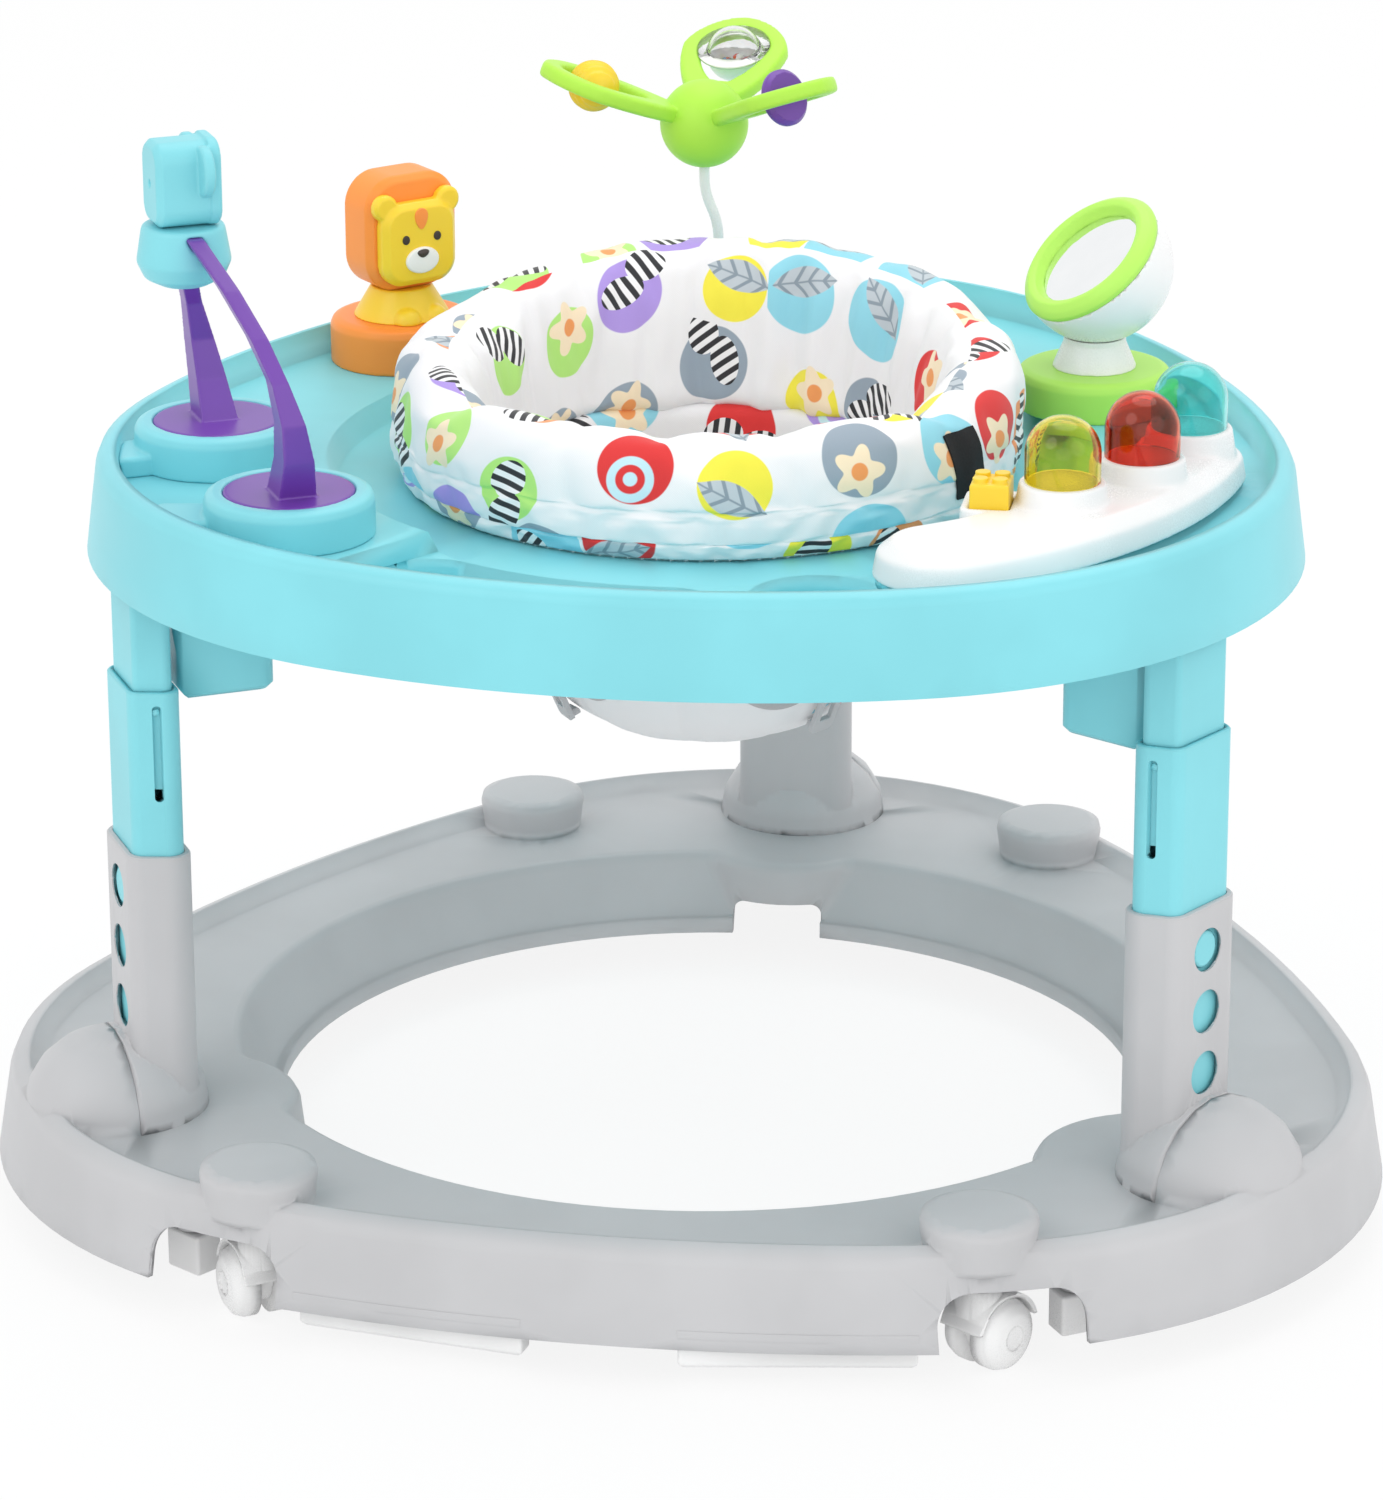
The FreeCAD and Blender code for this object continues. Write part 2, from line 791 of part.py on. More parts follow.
def leg_sleeve(angle):
    """Fixed outer tube of a leg with its flared collar, relief groove and lock holes."""
    tube = leg_prism(sleeve_grow, sleeve_foot_z, sleeve_top_z)
    tube = bevelled(tube, leg_edge_round, at_height(sleeve_top_z))
    collar = dome_half(dome_radius, dome_height, deck_z, False)
    collar.translate(V(-seam, 0, 0))
    body = joined([tube, collar])
    body = body.cut(leg_prism(tube_grow + tube_gap, sleeve_foot_z - overrun, sleeve_top_z + overrun))
    wall_face = post_depth / 2 + tube_grow + tube_gap
    low = lock_z - 2 * lock_step - button_radius - relief_margin
    relief = block(V(wall_face - overrun, -relief_half_width, low),
                   V(wall_face + relief_depth, relief_half_width, lock_z + button_radius + relief_margin))
    cuts = [relief]
    for step in range(3):
        cuts.append(Part.makeCylinder(lock_hole_radius, post_depth,
                                      V(post_depth / 2, 0, lock_z - step * lock_step),
                                      OUT))
    for side in (-1, 1):
        cuts.append(Part.makeCylinder(screw_shank + run_gap, screw_length,
                                      V(screw_reach - leg_reach, side * screw_side, deck_z - overrun)))
    body = body.cut(Part.makeCompound(cuts))
    return turned(body, angle, polar(leg_reach, angle))


def mid_tube(angle):
    """Sliding tube of a leg, with the pin slots, spring shelf and button guide."""
    tube = leg_prism(tube_grow, tube_foot_z, tube_top_z)
    tube = bevelled(tube, leg_edge_round, at_height(tube_top_z))
    tube = tube.cut(leg_prism(tube_gap, tube_foot_z - overrun, shelf_z))
    tube = tube.cut(leg_prism(tube_gap, shelf_z + shelf_thickness, tube_top_z + overrun))
    half = post_depth / 2 + tube_gap
    guide = Part.makeCylinder(guide_radius, guide_length + tube_gap, V(-half - tube_gap, 0, lock_z), OUT)
    tube = joined([tube, guide])
    across = post_inner_width
    slot = block(V(-slot_width / 2, -across, slot_low_z + slot_width / 2),
                 V(slot_width / 2, across, slot_high_z - slot_width / 2))
    cuts = [slot]
    for z in (slot_low_z + slot_width / 2, slot_high_z - slot_width / 2):
        cuts.append(Part.makeCylinder(slot_width / 2, 2 * across, V(0, -across, z), ACROSS))
    cuts.append(Part.makeCylinder(button_radius + fit_gap, post_depth, V(half - overrun, 0, lock_z), OUT))
    cuts.append(Part.makeCylinder(button_stem_radius + run_gap, guide_length,
                                  V(-half + guide_floor, 0, lock_z), OUT))
    tube = tube.cut(Part.makeCompound(cuts))
    return turned(tube, angle, polar(leg_reach, angle))


def lock_button(angle):
    """Round lock button with its flange and stem, resting inside the relief groove."""
    flange_face = post_depth / 2 + tube_gap - button_latch
    face = post_depth / 2 + tube_grow + tube_gap + relief_depth - fit_gap
    outline = [(0, flange_face - button_flange - button_stem_length),
               (button_stem_radius, flange_face - button_flange - button_stem_length),
               (button_stem_radius, flange_face - button_flange),
               (button_flange_radius, flange_face - button_flange), (button_flange_radius, flange_face),
               (button_radius, flange_face), (button_radius, face - button_crown),
               (button_radius - 2 * button_crown, face), (0, face)]
    body = lathe(outline)
    body.rotate(ORIGIN, ACROSS, 90)
    body.translate(V(0, 0, lock_z))
    return turned(body, angle, polar(leg_reach, angle))


def bounce_springs():
    """Coil spring under the post of each leg."""
    low = shelf_z + shelf_thickness + spring_wire + run_gap
    high = post_seat_z - spring_wire - run_gap
    pitch = (high - low) / spring_turns
    helix = Part.makeHelix(pitch, high - low, spring_radius)
    corners = [V(spring_radius, 0, 0) + polar_side(spring_wire, side * 360 / spring_sides, 0)
               for side in range(spring_sides)]
    section = Part.makePolygon(corners + corners[:1])
    coil = Part.Wire(helix.Edges).makePipeShell([section], True, True)
    coil.translate(V(0, 0, low))
    return Part.makeCompound([turned(coil, angle, polar(leg_reach, angle)) for angle in leg_angles.values()])


def tray_post(angle):
    """Post that hangs from the tray into the sliding tube, with cross pin and bracket."""
    top = tray_top_z - tray_wall
    post = leg_prism(0, post_foot_z, top)
    post = post.cut(leg_prism(-post_wall, post_foot_z - overrun, post_seat_z))
    post = post.cut(leg_prism(-post_wall, post_seat_z + post_floor, top - post_floor))
    lean = (post_inner_width + post_outer_width) / 4 + pin_proud
    pin = Part.makeCylinder(pin_radius, 2 * lean, V(0, -lean, pin_z), ACROSS)
    near = -(post_depth / 2 + sleeve_grow + bracket_gap)
    low = V(bracket_reach - leg_reach, -bracket_half_width, bracket_foot_z)
    bracket = block(low, V(near, bracket_half_width, top))
    bracket = rounded(bracket, bracket_round,
                      lambda edge: upright(edge) and edge.BoundBox.XMin < near - fit_gap)
    bracket = bevelled(bracket, bracket_round / 3, at_height(bracket_foot_z))
    join = block(V(near - overrun, -bracket_half_width, bracket_join_z),
                 V(-post_depth / 2 + overrun, bracket_half_width, top))
    return turned(joined([post, pin, bracket, join]), angle, polar(leg_reach, angle))


def trail_turn(place):
    """Direction in which a caster trails: backwards and to its own side."""
    return 90 - math.copysign(caster_trail_angle, place.x)


def caster_fork(place):
    """Swivelling fork of a caster: stem, hub, centre web and hood."""
    axle = V(caster_trail, 0, axle_height)
    web = Part.makeCylinder(web_radius, 2 * web_half, axle - ACROSS * web_half, ACROSS)
    neck = block(V(-web_radius / 2, -web_half, axle_height),
                 V(caster_trail + web_radius, web_half, hub_top_z - web_half))
    ring = Part.makeCylinder(hood_radius, 2 * hood_half_width, axle - ACROSS * hood_half_width, ACROSS)
    neck = neck.common(ring)
    ring = ring.cut(Part.makeCylinder(hood_radius - hood_wall, 2 * hood_half_width + 2 * overrun,
                                      axle - ACROSS * (hood_half_width + overrun), ACROSS))
    far = 2 * hood_radius
    ring = ring.cut(block(V(-far, -far, -far), V(far, far, hood_cut_z)))
    hub = Part.makeCylinder(hub_radius, hub_top_z - hub_foot_z, V(0, 0, hub_foot_z))
    stem = lathe([(0, hub_top_z - web_half), (stem_radius, hub_top_z - web_half),
                  (stem_radius, stem_top_z - stem_radius / 2), (stem_radius / 2, stem_top_z),
                  (0, stem_top_z)])
    inside = Part.makeCylinder(hood_radius - hood_wall, 2 * hood_half_width,
                               axle - ACROSS * hood_half_width, ACROSS)
    hub = hub.cut(inside)
    body = joined([web, neck, ring, hub, stem])
    body = body.cut(Part.makeCylinder(axle_radius + run_gap, 2 * hood_half_width,
                                      axle - ACROSS * hood_half_width, ACROSS))
    return turned(body, trail_turn(place), place)


def caster_wheel(place):
    """Twin ball wheel on its axle."""
    start = web_half + fit_gap
    floor = wheel_half_width - wheel_hub_depth
    outline = [(0, 0), (axle_radius, 0), (axle_radius, start), (wheel_radius, start),
               (wheel_radius, wheel_shoulder)]
    for step in (1, 2):
        turn = math.radians(30 * step)
        outline.append((wheel_hub_radius + (wheel_radius - wheel_hub_radius) * math.cos(turn),
                        wheel_shoulder + (wheel_half_width - wheel_shoulder) * math.sin(turn)))
    outline += [(wheel_hub_radius, wheel_half_width), (wheel_hub_radius, floor), (0, floor)]
    wheel = lathe(outline)
    body = joined([wheel, wheel.mirror(ORIGIN, UP)])
    body.rotate(ORIGIN, OUT, 90)
    body.translate(V(caster_trail, 0, axle_height))
    return turned(body, trail_turn(place), place)


def stop_foot(place, side):
    """Stop foot: a block on a stem that slides in its guide."""
    foot = foot_place(place, side)
    pad = soft_block(foot_width, foot_length, foot_top_z - foot_bottom_z, foot_round, foot_bottom_z)
    stem = Part.makeCylinder(foot_stem_radius, foot_stem_top_z - foot_top_z + foot_round,
                             V(0, 0, foot_top_z - foot_round))
    return turned(joined([pad, stem]), outward_angle(place), foot)


def annular_slot(reach, half_width, first, last, low_z, high_z, grow):
    """Curved slot with round ends about the vertical axis, widening upwards."""
    stack = []
    for z, wide in ((low_z, half_width), (high_z, half_width + grow)):
        middle = (first + last) / 2
        inner = arc_edge(polar(reach - wide, first, z), polar(reach - wide, middle, z),
                         polar(reach - wide, last, z))
        outer = arc_edge(polar(reach + wide, first, z), polar(reach + wide, middle, z),
                         polar(reach + wide, last, z))
        caps = []
        for angle, beyond in ((first, -90), (last, 90)):
            tip = polar(reach, angle, z) + polar(wide, angle + beyond)
            caps.append(arc_edge(polar(reach - wide, angle, z), tip, polar(reach + wide, angle, z)))
        stack.append(Part.Wire(Part.__sortEdges__([inner, outer] + caps)))
    return between(*stack)


def front_basin(reach, half_angle, low_z, high_z):
    """Front part of the basin: a wide sector that reaches the rim."""
    stack = []
    inner = seat_hole_radius / 2
    for z in (low_z, high_z):
        edges = [arc_edge(polar(reach, 270 - half_angle, z), polar(reach, 270, z),
                          polar(reach, 270 + half_angle, z)),
                 arc_edge(polar(inner, 270 - half_angle, z), polar(inner, 270, z),
                          polar(inner, 270 + half_angle, z))]
        for side in (-1, 1):
            angle = 270 + side * half_angle
            edges.append(Part.makeLine(polar(inner, angle, z), polar(reach, angle, z)))
        stack.append(Part.Wire(Part.__sortEdges__(edges)))
    body = between(*stack)
    corner = basin_slope * 2
    return rounded(body, corner, lambda edge: upright(edge) and edge.BoundBox.YMax < -seat_hole_radius)


def basin_bodies(grow, floor_drop, top):
    """Bodies that hollow the basin and the two wells, or their outsides when grown."""
    round_basin = Part.makeCone(basin_radius + grow, basin_radius + basin_slope + grow, tray_top_z - basin_z,
                                V(0, 0, basin_z - floor_drop))
    cap = Part.makeCylinder(basin_radius + basin_slope + grow, top - tray_top_z + floor_drop,
                            V(0, 0, tray_top_z - floor_drop))
    turn = math.degrees(grow / basin_front_reach)
    front = front_basin(basin_front_reach + grow, basin_front_half_angle + turn, basin_z - floor_drop, top)
    long_well = annular_slot(long_well_reach, long_well_half + grow, long_well_angles[0], long_well_angles[1],
                             well_z - floor_drop, basin_z + fit_gap, well_draft)
    round_well = Part.makeCone(round_well_radius + grow, round_well_radius + well_draft + grow,
                               basin_z + fit_gap - well_z + floor_drop,
                               polar(round_well_reach, round_well_angle, well_z - floor_drop))
    return joined([round_basin, cap, front, long_well, round_well])


def tray_shell():
    """Tray moulding: rounded rim, recessed top, basin, wells and the seat opening."""
    bend = edge_share * tray_round
    hull = between(tray_outline(0, tray_foot_z), tray_outline(tray_draft, tray_rim_z - tray_round),
                   tray_outline(tray_draft + bend, tray_rim_z - bend),
                   tray_outline(tray_draft + tray_round, tray_rim_z))
    deep = tray_band + tray_band_slope
    rise = tray_rim_z - tray_top_z
    hull = hull.cut(between(tray_outline(deep, tray_top_z), tray_outline(tray_band, tray_rim_z),
                            tray_outline(tray_band - tray_band_slope, tray_rim_z + rise)))
    roof_z = tray_top_z - tray_wall
    drawn_in = tray_draft * (roof_z - tray_foot_z) / (tray_rim_z - tray_round - tray_foot_z)
    cavity = between(tray_outline(tray_wall, tray_foot_z - overrun),
                     tray_outline(tray_wall + drawn_in, roof_z))
    cavity = cavity.cut(basin_bodies(tray_wall, tray_wall, tray_top_z))
    shell = hull.cut(cavity).cut(basin_bodies(0, 0, tray_top_z + overrun))
    hole = Part.makeCylinder(seat_hole_radius, tray_rim_z - tray_foot_z, V(0, 0, tray_foot_z))
    return joined([shell.cut(hole), sound_plinth()])


def seat_ring():
    """Plastic ring of the seat: a sleeve through the tray with a flange that rests on it."""
    inner = seat_ring_radius - seat_ring_wall
    return lathe([(inner, seat_ring_foot_z), (seat_ring_radius, seat_ring_foot_z),
                  (seat_ring_radius, basin_z),
                  (seat_flange_radius, basin_z), (seat_flange_radius, basin_z + seat_flange),
                  (seat_ring_radius, basin_z + seat_flange), (seat_ring_radius, seat_ring_top_z),
                  (inner, seat_ring_top_z)])


def seat_retainer():
    """Ring that clips on the sleeve under the tray and keeps the seat in."""
    high = basin_z - tray_wall - fit_gap
    return lathe([(seat_ring_radius + run_gap, high - retainer_thickness),
                  (retainer_radius, high - retainer_thickness),
                  (retainer_radius, high), (seat_ring_radius + run_gap, high)])


def seat_rim_pad():
    """Padded rim of the seat: drawn in at the foot, round at the crest and tilted up at the back."""
    tilt = math.degrees(math.atan2(pad_back_crest_z - pad_front_crest_z, 2 * pad_crest_radius))
    crest = (pad_front_crest_z + pad_back_crest_z) / 2
    rise = pad_outer_radius - pad_crest_radius
    belly = crest - rise
    foot = 2 * pad_foot_z - crest
    rim_arc = arc_edge(V(pad_outer_radius, 0, belly), polar_side(rise, 45, belly) + V(pad_crest_radius, 0, 0),
                       V(pad_crest_radius, 0, crest))
    fall = pad_crest_radius - pad_inner_radius
    inner_arc = arc_edge(V(pad_crest_radius, 0, crest),
                         polar_side(fall, 135, crest - fall) + V(pad_crest_radius, 0, 0),
                         V(pad_inner_radius, 0, crest - fall))
    side_arc = arc_edge(V(pad_foot_radius, 0, foot),
                        V(pad_outer_radius - fit_gap, 0, (belly + foot) / 2 + fall / 2),
                        V(pad_outer_radius, 0, belly))
    edges = [rim_arc, inner_arc,
             Part.makeLine(V(pad_inner_radius, 0, crest - fall), V(pad_inner_radius, 0, foot)),
             Part.makeLine(V(pad_inner_radius, 0, foot), V(pad_foot_radius, 0, foot)), side_arc]
    body = Part.Face(Part.Wire(Part.__sortEdges__(edges))).revolve(ORIGIN, UP, 360)
    body.rotate(V(0, 0, crest), OUT, tilt)
    flange_top = basin_z + seat_flange + fit_gap
    side = 2 * pad_outer_radius
    body = body.cut(block(V(-side, -side, foot - side), V(side, side, pad_foot_z)))
    body = body.cut(Part.makeCylinder(seat_flange_radius + fit_gap, flange_top - pad_foot_z + overrun,
                                      V(0, 0, pad_foot_z - overrun)))
    inner = seat_ring_radius - seat_ring_wall - fit_gap
    slot_height = seat_ring_top_z + fit_gap - pad_foot_z
    slot = Part.makeCylinder(seat_ring_radius + fit_gap, slot_height, V(0, 0, pad_foot_z))
    return body.cut(slot.cut(Part.makeCylinder(inner, slot_height, V(0, 0, pad_foot_z))))


def pouch_ring(radius, z, sag_share):
    """Outline of the gathered cloth: equal arcs that bulge outwards."""
    step = 360 / pouch_gathers
    edges = []
    for turn in range(pouch_gathers):
        first = turn * step
        edges.append(arc_edge(polar(radius, first, z), polar(radius * (1 + sag_share), first + step / 2, z),
                              polar(radius, first + step, z)))
    return Part.Wire(edges)


def pouch_stations():
    """Radius and height of the pouch from its brim to its foot."""
    return [(pouch_top_radius, pouch_top_z), (pouch_mid_radius, pouch_mid_z),
            (pouch_low_radius, pouch_low_z), (pouch_foot_radius, pouch_foot_z)]


def pouch_hull():
    """Filled outside of the pouch."""
    return Part.makeLoft([pouch_ring(radius, z, pouch_sag_share) for radius, z in pouch_stations()],
                         True, True)


def seat_pouch():
    """Cloth pouch that hangs from the seat ring, with two leg openings."""
    stations = pouch_stations()
    sag = pouch_sag_share
    outer = pouch_hull()
    inner_stations = [(radius - pouch_wall, z + pouch_wall * lift)
                      for (radius, z), lift in zip(stations, (0, 0, 0, 1))]
    inner_stations[0] = (pouch_top_radius - pouch_wall, pouch_top_z + overrun)
    inner = Part.makeLoft([pouch_ring(radius, z, sag) for radius, z in inner_stations], True, True)
    brim_low = pouch_top_z - pouch_wall
    brim = lathe([(pouch_top_radius - pouch_wall, brim_low),
                  (seat_ring_radius - seat_ring_wall - fit_gap, brim_low),
                  (seat_ring_radius - seat_ring_wall - fit_gap, pouch_top_z),
                  (pouch_top_radius - pouch_wall, pouch_top_z)])
    body = joined([outer, brim]).cut(inner)
    cuts = [Part.makeCylinder(leg_hole_radius, pouch_top_radius + 2 * overrun, V(0, 0, leg_hole_z),
                              polar(1, angle)) for angle in leg_hole_angles]
    return body.cut(Part.makeCompound(cuts))


def seat_clips():
    """Two clip loops on the lower sides of the pouch."""
    clips = []
    top = clip_z + clip_height / 3
    share = (pouch_mid_z - top) / (pouch_mid_z - pouch_low_z)
    slope = math.degrees(math.atan2(pouch_mid_radius - pouch_low_radius, pouch_mid_z - pouch_low_z))
    reach = pouch_mid_radius + (pouch_low_radius - pouch_mid_radius) * share
    reach = reach * (1 + pouch_sag_share) + 2 * fit_gap
    for angle in clip_angles:
        plate = block(V(0, -clip_width / 2, -clip_height), V(clip_thickness, clip_width / 2, 0))
        plate = rounded(plate, clip_thickness, lambda edge: edge.BoundBox.YLength < fit_gap
                        and edge.BoundBox.ZLength < fit_gap)
        side = (clip_width - clip_hole_width) / 2
        hole = block(V(-overrun, -clip_hole_width / 2, -side - clip_hole_height),
                     V(clip_thickness + overrun, clip_hole_width / 2, -side))
        stay = block(V(-clip_stay, -clip_hole_width / 2, -clip_height),
                     V(clip_thickness / 2, clip_hole_width / 2, side - clip_height))
        clip = joined([plate.cut(hole), stay])
        clip.rotate(ORIGIN, ACROSS, slope)
        clips.append(turned(clip, angle, polar(reach, angle, top)).cut(pouch_hull()))
    return Part.makeCompound(clips)


def link_bases():
    """Two drums of the link toy with clip tabs towards the rim."""
    bodies = []
    for place in (link_front, link_back):
        drum = toy_drum(drum_radius, drum_height)
        tab = soft_block(tab_length, tab_width, 2 * tab_height, tab_round, tray_top_z - tab_height)
        tab = tab.common(block(V(-tab_length, -tab_width, tray_top_z),
                               V(tab_length, tab_width, tray_top_z + tab_height)))
        tab.translate(V(drum_radius + tab_length / 4, 0, 0))
        body = joined([drum, turned(tab, tab_angle(place))])
        body.translate(place)
        top = tray_top_z + drum_height
        recess = Part.makeCylinder(link_disc_radius + fit_gap, link_disc + overrun,
                                   place + V(0, 0, top - link_disc))
        bodies.append(body.cut(recess).common(rim_keep()))
    return Part.makeCompound(bodies)


def tab_angle(place):
    """Turn of a clip tab: across the line between the drums and away from the seat."""
    along = link_back - link_front
    return math.degrees(math.atan2(along.y, along.x)) + 70 if place is link_front else \
        math.degrees(math.atan2(along.y, along.x)) + 90


def rim_keep():
    """Space inside the tray rim that the toys may fill."""
    deep = tray_band + tray_band_slope + fit_gap
    rise = tray_rim_z - tray_top_z
    return between(tray_outline(deep, tray_top_z), tray_outline(deep - tray_band_slope, tray_rim_z),
                   tray_outline(deep - 2 * tray_band_slope, tray_rim_z + rise))


def link_middle():
    """Foot of the neck on plan: outwards of the middle between the two drums."""
    middle = (link_front + link_back) * (1 / 2)
    away = V(middle)
    away.normalize()
    return middle + away * neck_lean


def link_arm(place):
    """Purple disc with a tapered arm that bows up to the neck."""
    top = tray_top_z + drum_height
    disc = Part.makeCylinder(link_disc_radius, link_disc, place + V(0, 0, top - link_disc))
    goal = link_middle()
    along = link_back - link_front
    along.normalize()
    side = 1 if place is link_back else -1
    goal = goal + along * (side * arm_top_apart)
    foot = place + along * (side * drum_round)
    run = goal - foot
    run.z = 0
    bow_way = run.cross(UP).normalize()
    if bow_way.dot(V(foot.x, foot.y, 0)) < 0:
        bow_way = bow_way * -1
    across = V(along)
    outward = along.cross(UP)
    wires = []
    steps = 6
    for step in range(steps + 1):
        share = step / steps
        z = top - fit_gap + (arm_top_z - top + fit_gap) * share
        lean_share = share * share
        centre = foot + run * lean_share + along * (side * arm_bow * math.sin(math.pi * share))
        half_long = (arm_foot_length + (arm_top_length - arm_foot_length) * min(1, 2 * share)) / 2
        half_wide = (arm_foot_width + (arm_top_width - arm_foot_width) * min(1, 2 * share)) / 2
        corners = [centre + across * (a * half_long) + outward * (b * half_wide) + V(0, 0, z)
                   for a, b in ((-1, -1), (1, -1), (1, 1), (-1, 1))]
        wires.append(Part.makePolygon(corners + corners[:1]))
    arm = Part.makeLoft(wires, True, True)
    return joined([disc, arm])


def toy_frame(shape, place, turn):
    """Toy modelled about its own axis, facing +X, put in its place."""
    return turned(shape, turn, place)


def link_turn():
    along = link_back - link_front
    return math.degrees(math.atan2(along.y, along.x)) - 90


def link_neck():
    """Round collar that takes both arms and carries the head on a pin."""
    height = neck_top_z - neck_foot_z
    body = lathe([(0, neck_foot_z), (neck_foot_radius, neck_foot_z),
                  ((neck_foot_radius + neck_radius) / 2 + neck_round / 2, neck_foot_z + height / 7),
                  (neck_radius, neck_foot_z + height * 2 / 5), (neck_top_radius, neck_top_z - neck_round / 4),
                  (neck_top_radius - neck_round / 4, neck_top_z), (0, neck_top_z)])
    pin = Part.makeCylinder(neck_pin_radius, neck_pin_length + neck_round, V(0, 0, neck_top_z - neck_round))
    body = toy_frame(joined([body, pin]), link_middle(), link_turn())
    return body.cut(Part.makeCompound([link_arm(link_front), link_arm(link_back)]))


def link_head():
    """Blocky animal head that turns on the neck: a soft block, two round ears and a face plate."""
    low = neck_top_z + fit_gap
    back = -head_depth / 2
    front = head_depth / 2 - mask_thickness
    head = block(V(back, -head_width / 2, low), V(front, head_width / 2, low + head_height))
    head = rounded(head, head_round, lambda edge: edge.BoundBox.XLength > head_depth / 2)
    head = bevelled(head, head_edge, lambda edge: edge.BoundBox.XMax < back + fit_gap)
    wide = head_width / 2 + mask_inset
    mask = block(V(front, -wide, low), V(front + mask_thickness, wide, low + head_height + mask_inset))
    mask = rounded(mask, head_round, lambda edge: edge.BoundBox.XLength > mask_thickness / 2)
    mask = bevelled(mask, mask_inset, lambda edge: edge.BoundBox.XMin > front + mask_thickness - fit_gap)
    pieces = [head, mask]
    for side in (-1, 1):
        ear = Part.makeCylinder(ear_radius, ear_thickness, V(front - ear_thickness, side * head_width / 2,
                                                            low + head_height * ear_top_share), OUT)
        pieces.append(bevelled(ear, ear_thickness / 5, round_edge))
    head = joined(pieces)
    head = head.cut(Part.makeCylinder(neck_pin_radius + run_gap, neck_pin_length + 2 * fit_gap,
                                      V(0, 0, low - fit_gap)))
    head = head.cut(Part.makeCylinder(dimple_radius, dimple_depth + overrun,
                                      V(back - overrun, 0, low + head_height / 2), OUT))
    return toy_frame(head, link_middle(), link_turn())


def toy_drum(radius, height):
    """Drum of a toy with a soft top edge."""
    top = tray_top_z + height
    bend = edge_share * drum_round
    return lathe([(0, tray_top_z), (radius, tray_top_z), (radius, top - drum_round),
                  (radius - bend, top - bend),
                  (radius - drum_round, top), (0, top)])


def lion_base():
    drum = toy_drum(lion_drum_radius, lion_drum_height)
    return toy_frame(drum, lion_place, 0).common(rim_keep())


def lion_face_turn():
    return math.degrees(math.atan2(-1, 0)) + lion_turn


def lion_body():
    """Sitting body: a flared foot with two paws and a pin for the head."""
    low = tray_top_z + lion_drum_height
    high = low + lion_body_height
    foot = Part.makeCone(lion_foot_radius, lion_neck_radius, lion_body_height, V(0, 0, low))
    pieces = [foot]
    for side in (-1, 1):
        paw = Part.makeSphere(lion_body_height / 2,
                              V(lion_foot_radius * 3 / 4, side * lion_body_height / 2, low))
        pieces.append(paw.common(block(V(0, -lion_foot_radius, low),
                                       V(2 * lion_foot_radius, lion_foot_radius, high))))
    pieces.append(Part.makeCylinder(lion_pin_radius, lion_body_height + lion_pin_length, V(0, 0, low)))
    return toy_frame(joined(pieces), lion_place, lion_face_turn())


def lion_head():
    """Orange mane block that turns on the body."""
    low = tray_top_z + lion_drum_height + lion_body_height + fit_gap
    mane = block(V(-mane_depth / 2, -mane_width / 2, low),
                 V(mane_depth / 2, mane_width / 2, low + mane_height))
    mane = rounded(mane, mane_round, lambda edge: edge.BoundBox.XLength > mane_depth / 2)
    mane = bevelled(mane, face_round, lambda edge: edge.BoundBox.XLength < fit_gap)
    bore = Part.makeCylinder(lion_pin_radius + run_gap, lion_pin_length + fit_gap, V(0, 0, low - fit_gap))
    return toy_frame(mane.cut(bore), lion_place, lion_face_turn())


def face_plate(width, height, corner):
    """Plate with round corners that stands on z = 0 and faces +X."""
    plate = block(V(0, -width / 2, 0), V(face_depth, width / 2, height))
    plate = rounded(plate, corner, lambda edge: edge.BoundBox.XLength > face_depth / 2)
    return bevelled(plate, face_round, lambda edge: edge.BoundBox.XMin > face_depth - fit_gap)


def lion_face():
    """Yellow face plate with two ears on the front of the mane, and a plain one on its back."""
    low = tray_top_z + lion_drum_height + lion_body_height + fit_gap + face_lift
    plate = face_plate(face_width, face_height, face_corner)
    pieces = [plate]
    for side in (-1, 1):
        ear = Part.makeCylinder(lion_ear_radius, face_depth * 2 / 3,
                                V(0, side * (face_width - lion_ear_radius) / 2,
                                  face_height - lion_ear_radius / 4), OUT)
        pieces.append(bevelled(ear, face_round / 2, lambda edge: edge.BoundBox.XMin > fit_gap))
    front = joined(pieces)
    front.translate(V(mane_depth / 2, 0, low))
    back = turned(face_plate(face_width - face_corner / 2, face_height - face_corner / 2, face_corner), 180,
                  V(-mane_depth / 2, 0, low + face_lift))
    return toy_frame(Part.makeCompound([front, back]), lion_place, lion_face_turn())


def mirror_base():
    drum = toy_drum(mirror_drum_radius, mirror_drum_height)
    return toy_frame(drum, mirror_place, 0).common(rim_keep())


def mirror_pose(shape):
    """From the mirror's own axis, along +Z, to its tilted place."""
    copy = shape.copy()
    copy.rotate(ORIGIN, ACROSS, 90 - mirror_tilt)
    copy.translate(V(0, 0, mirror_z))
    return toy_frame(copy, mirror_place, mirror_turn)


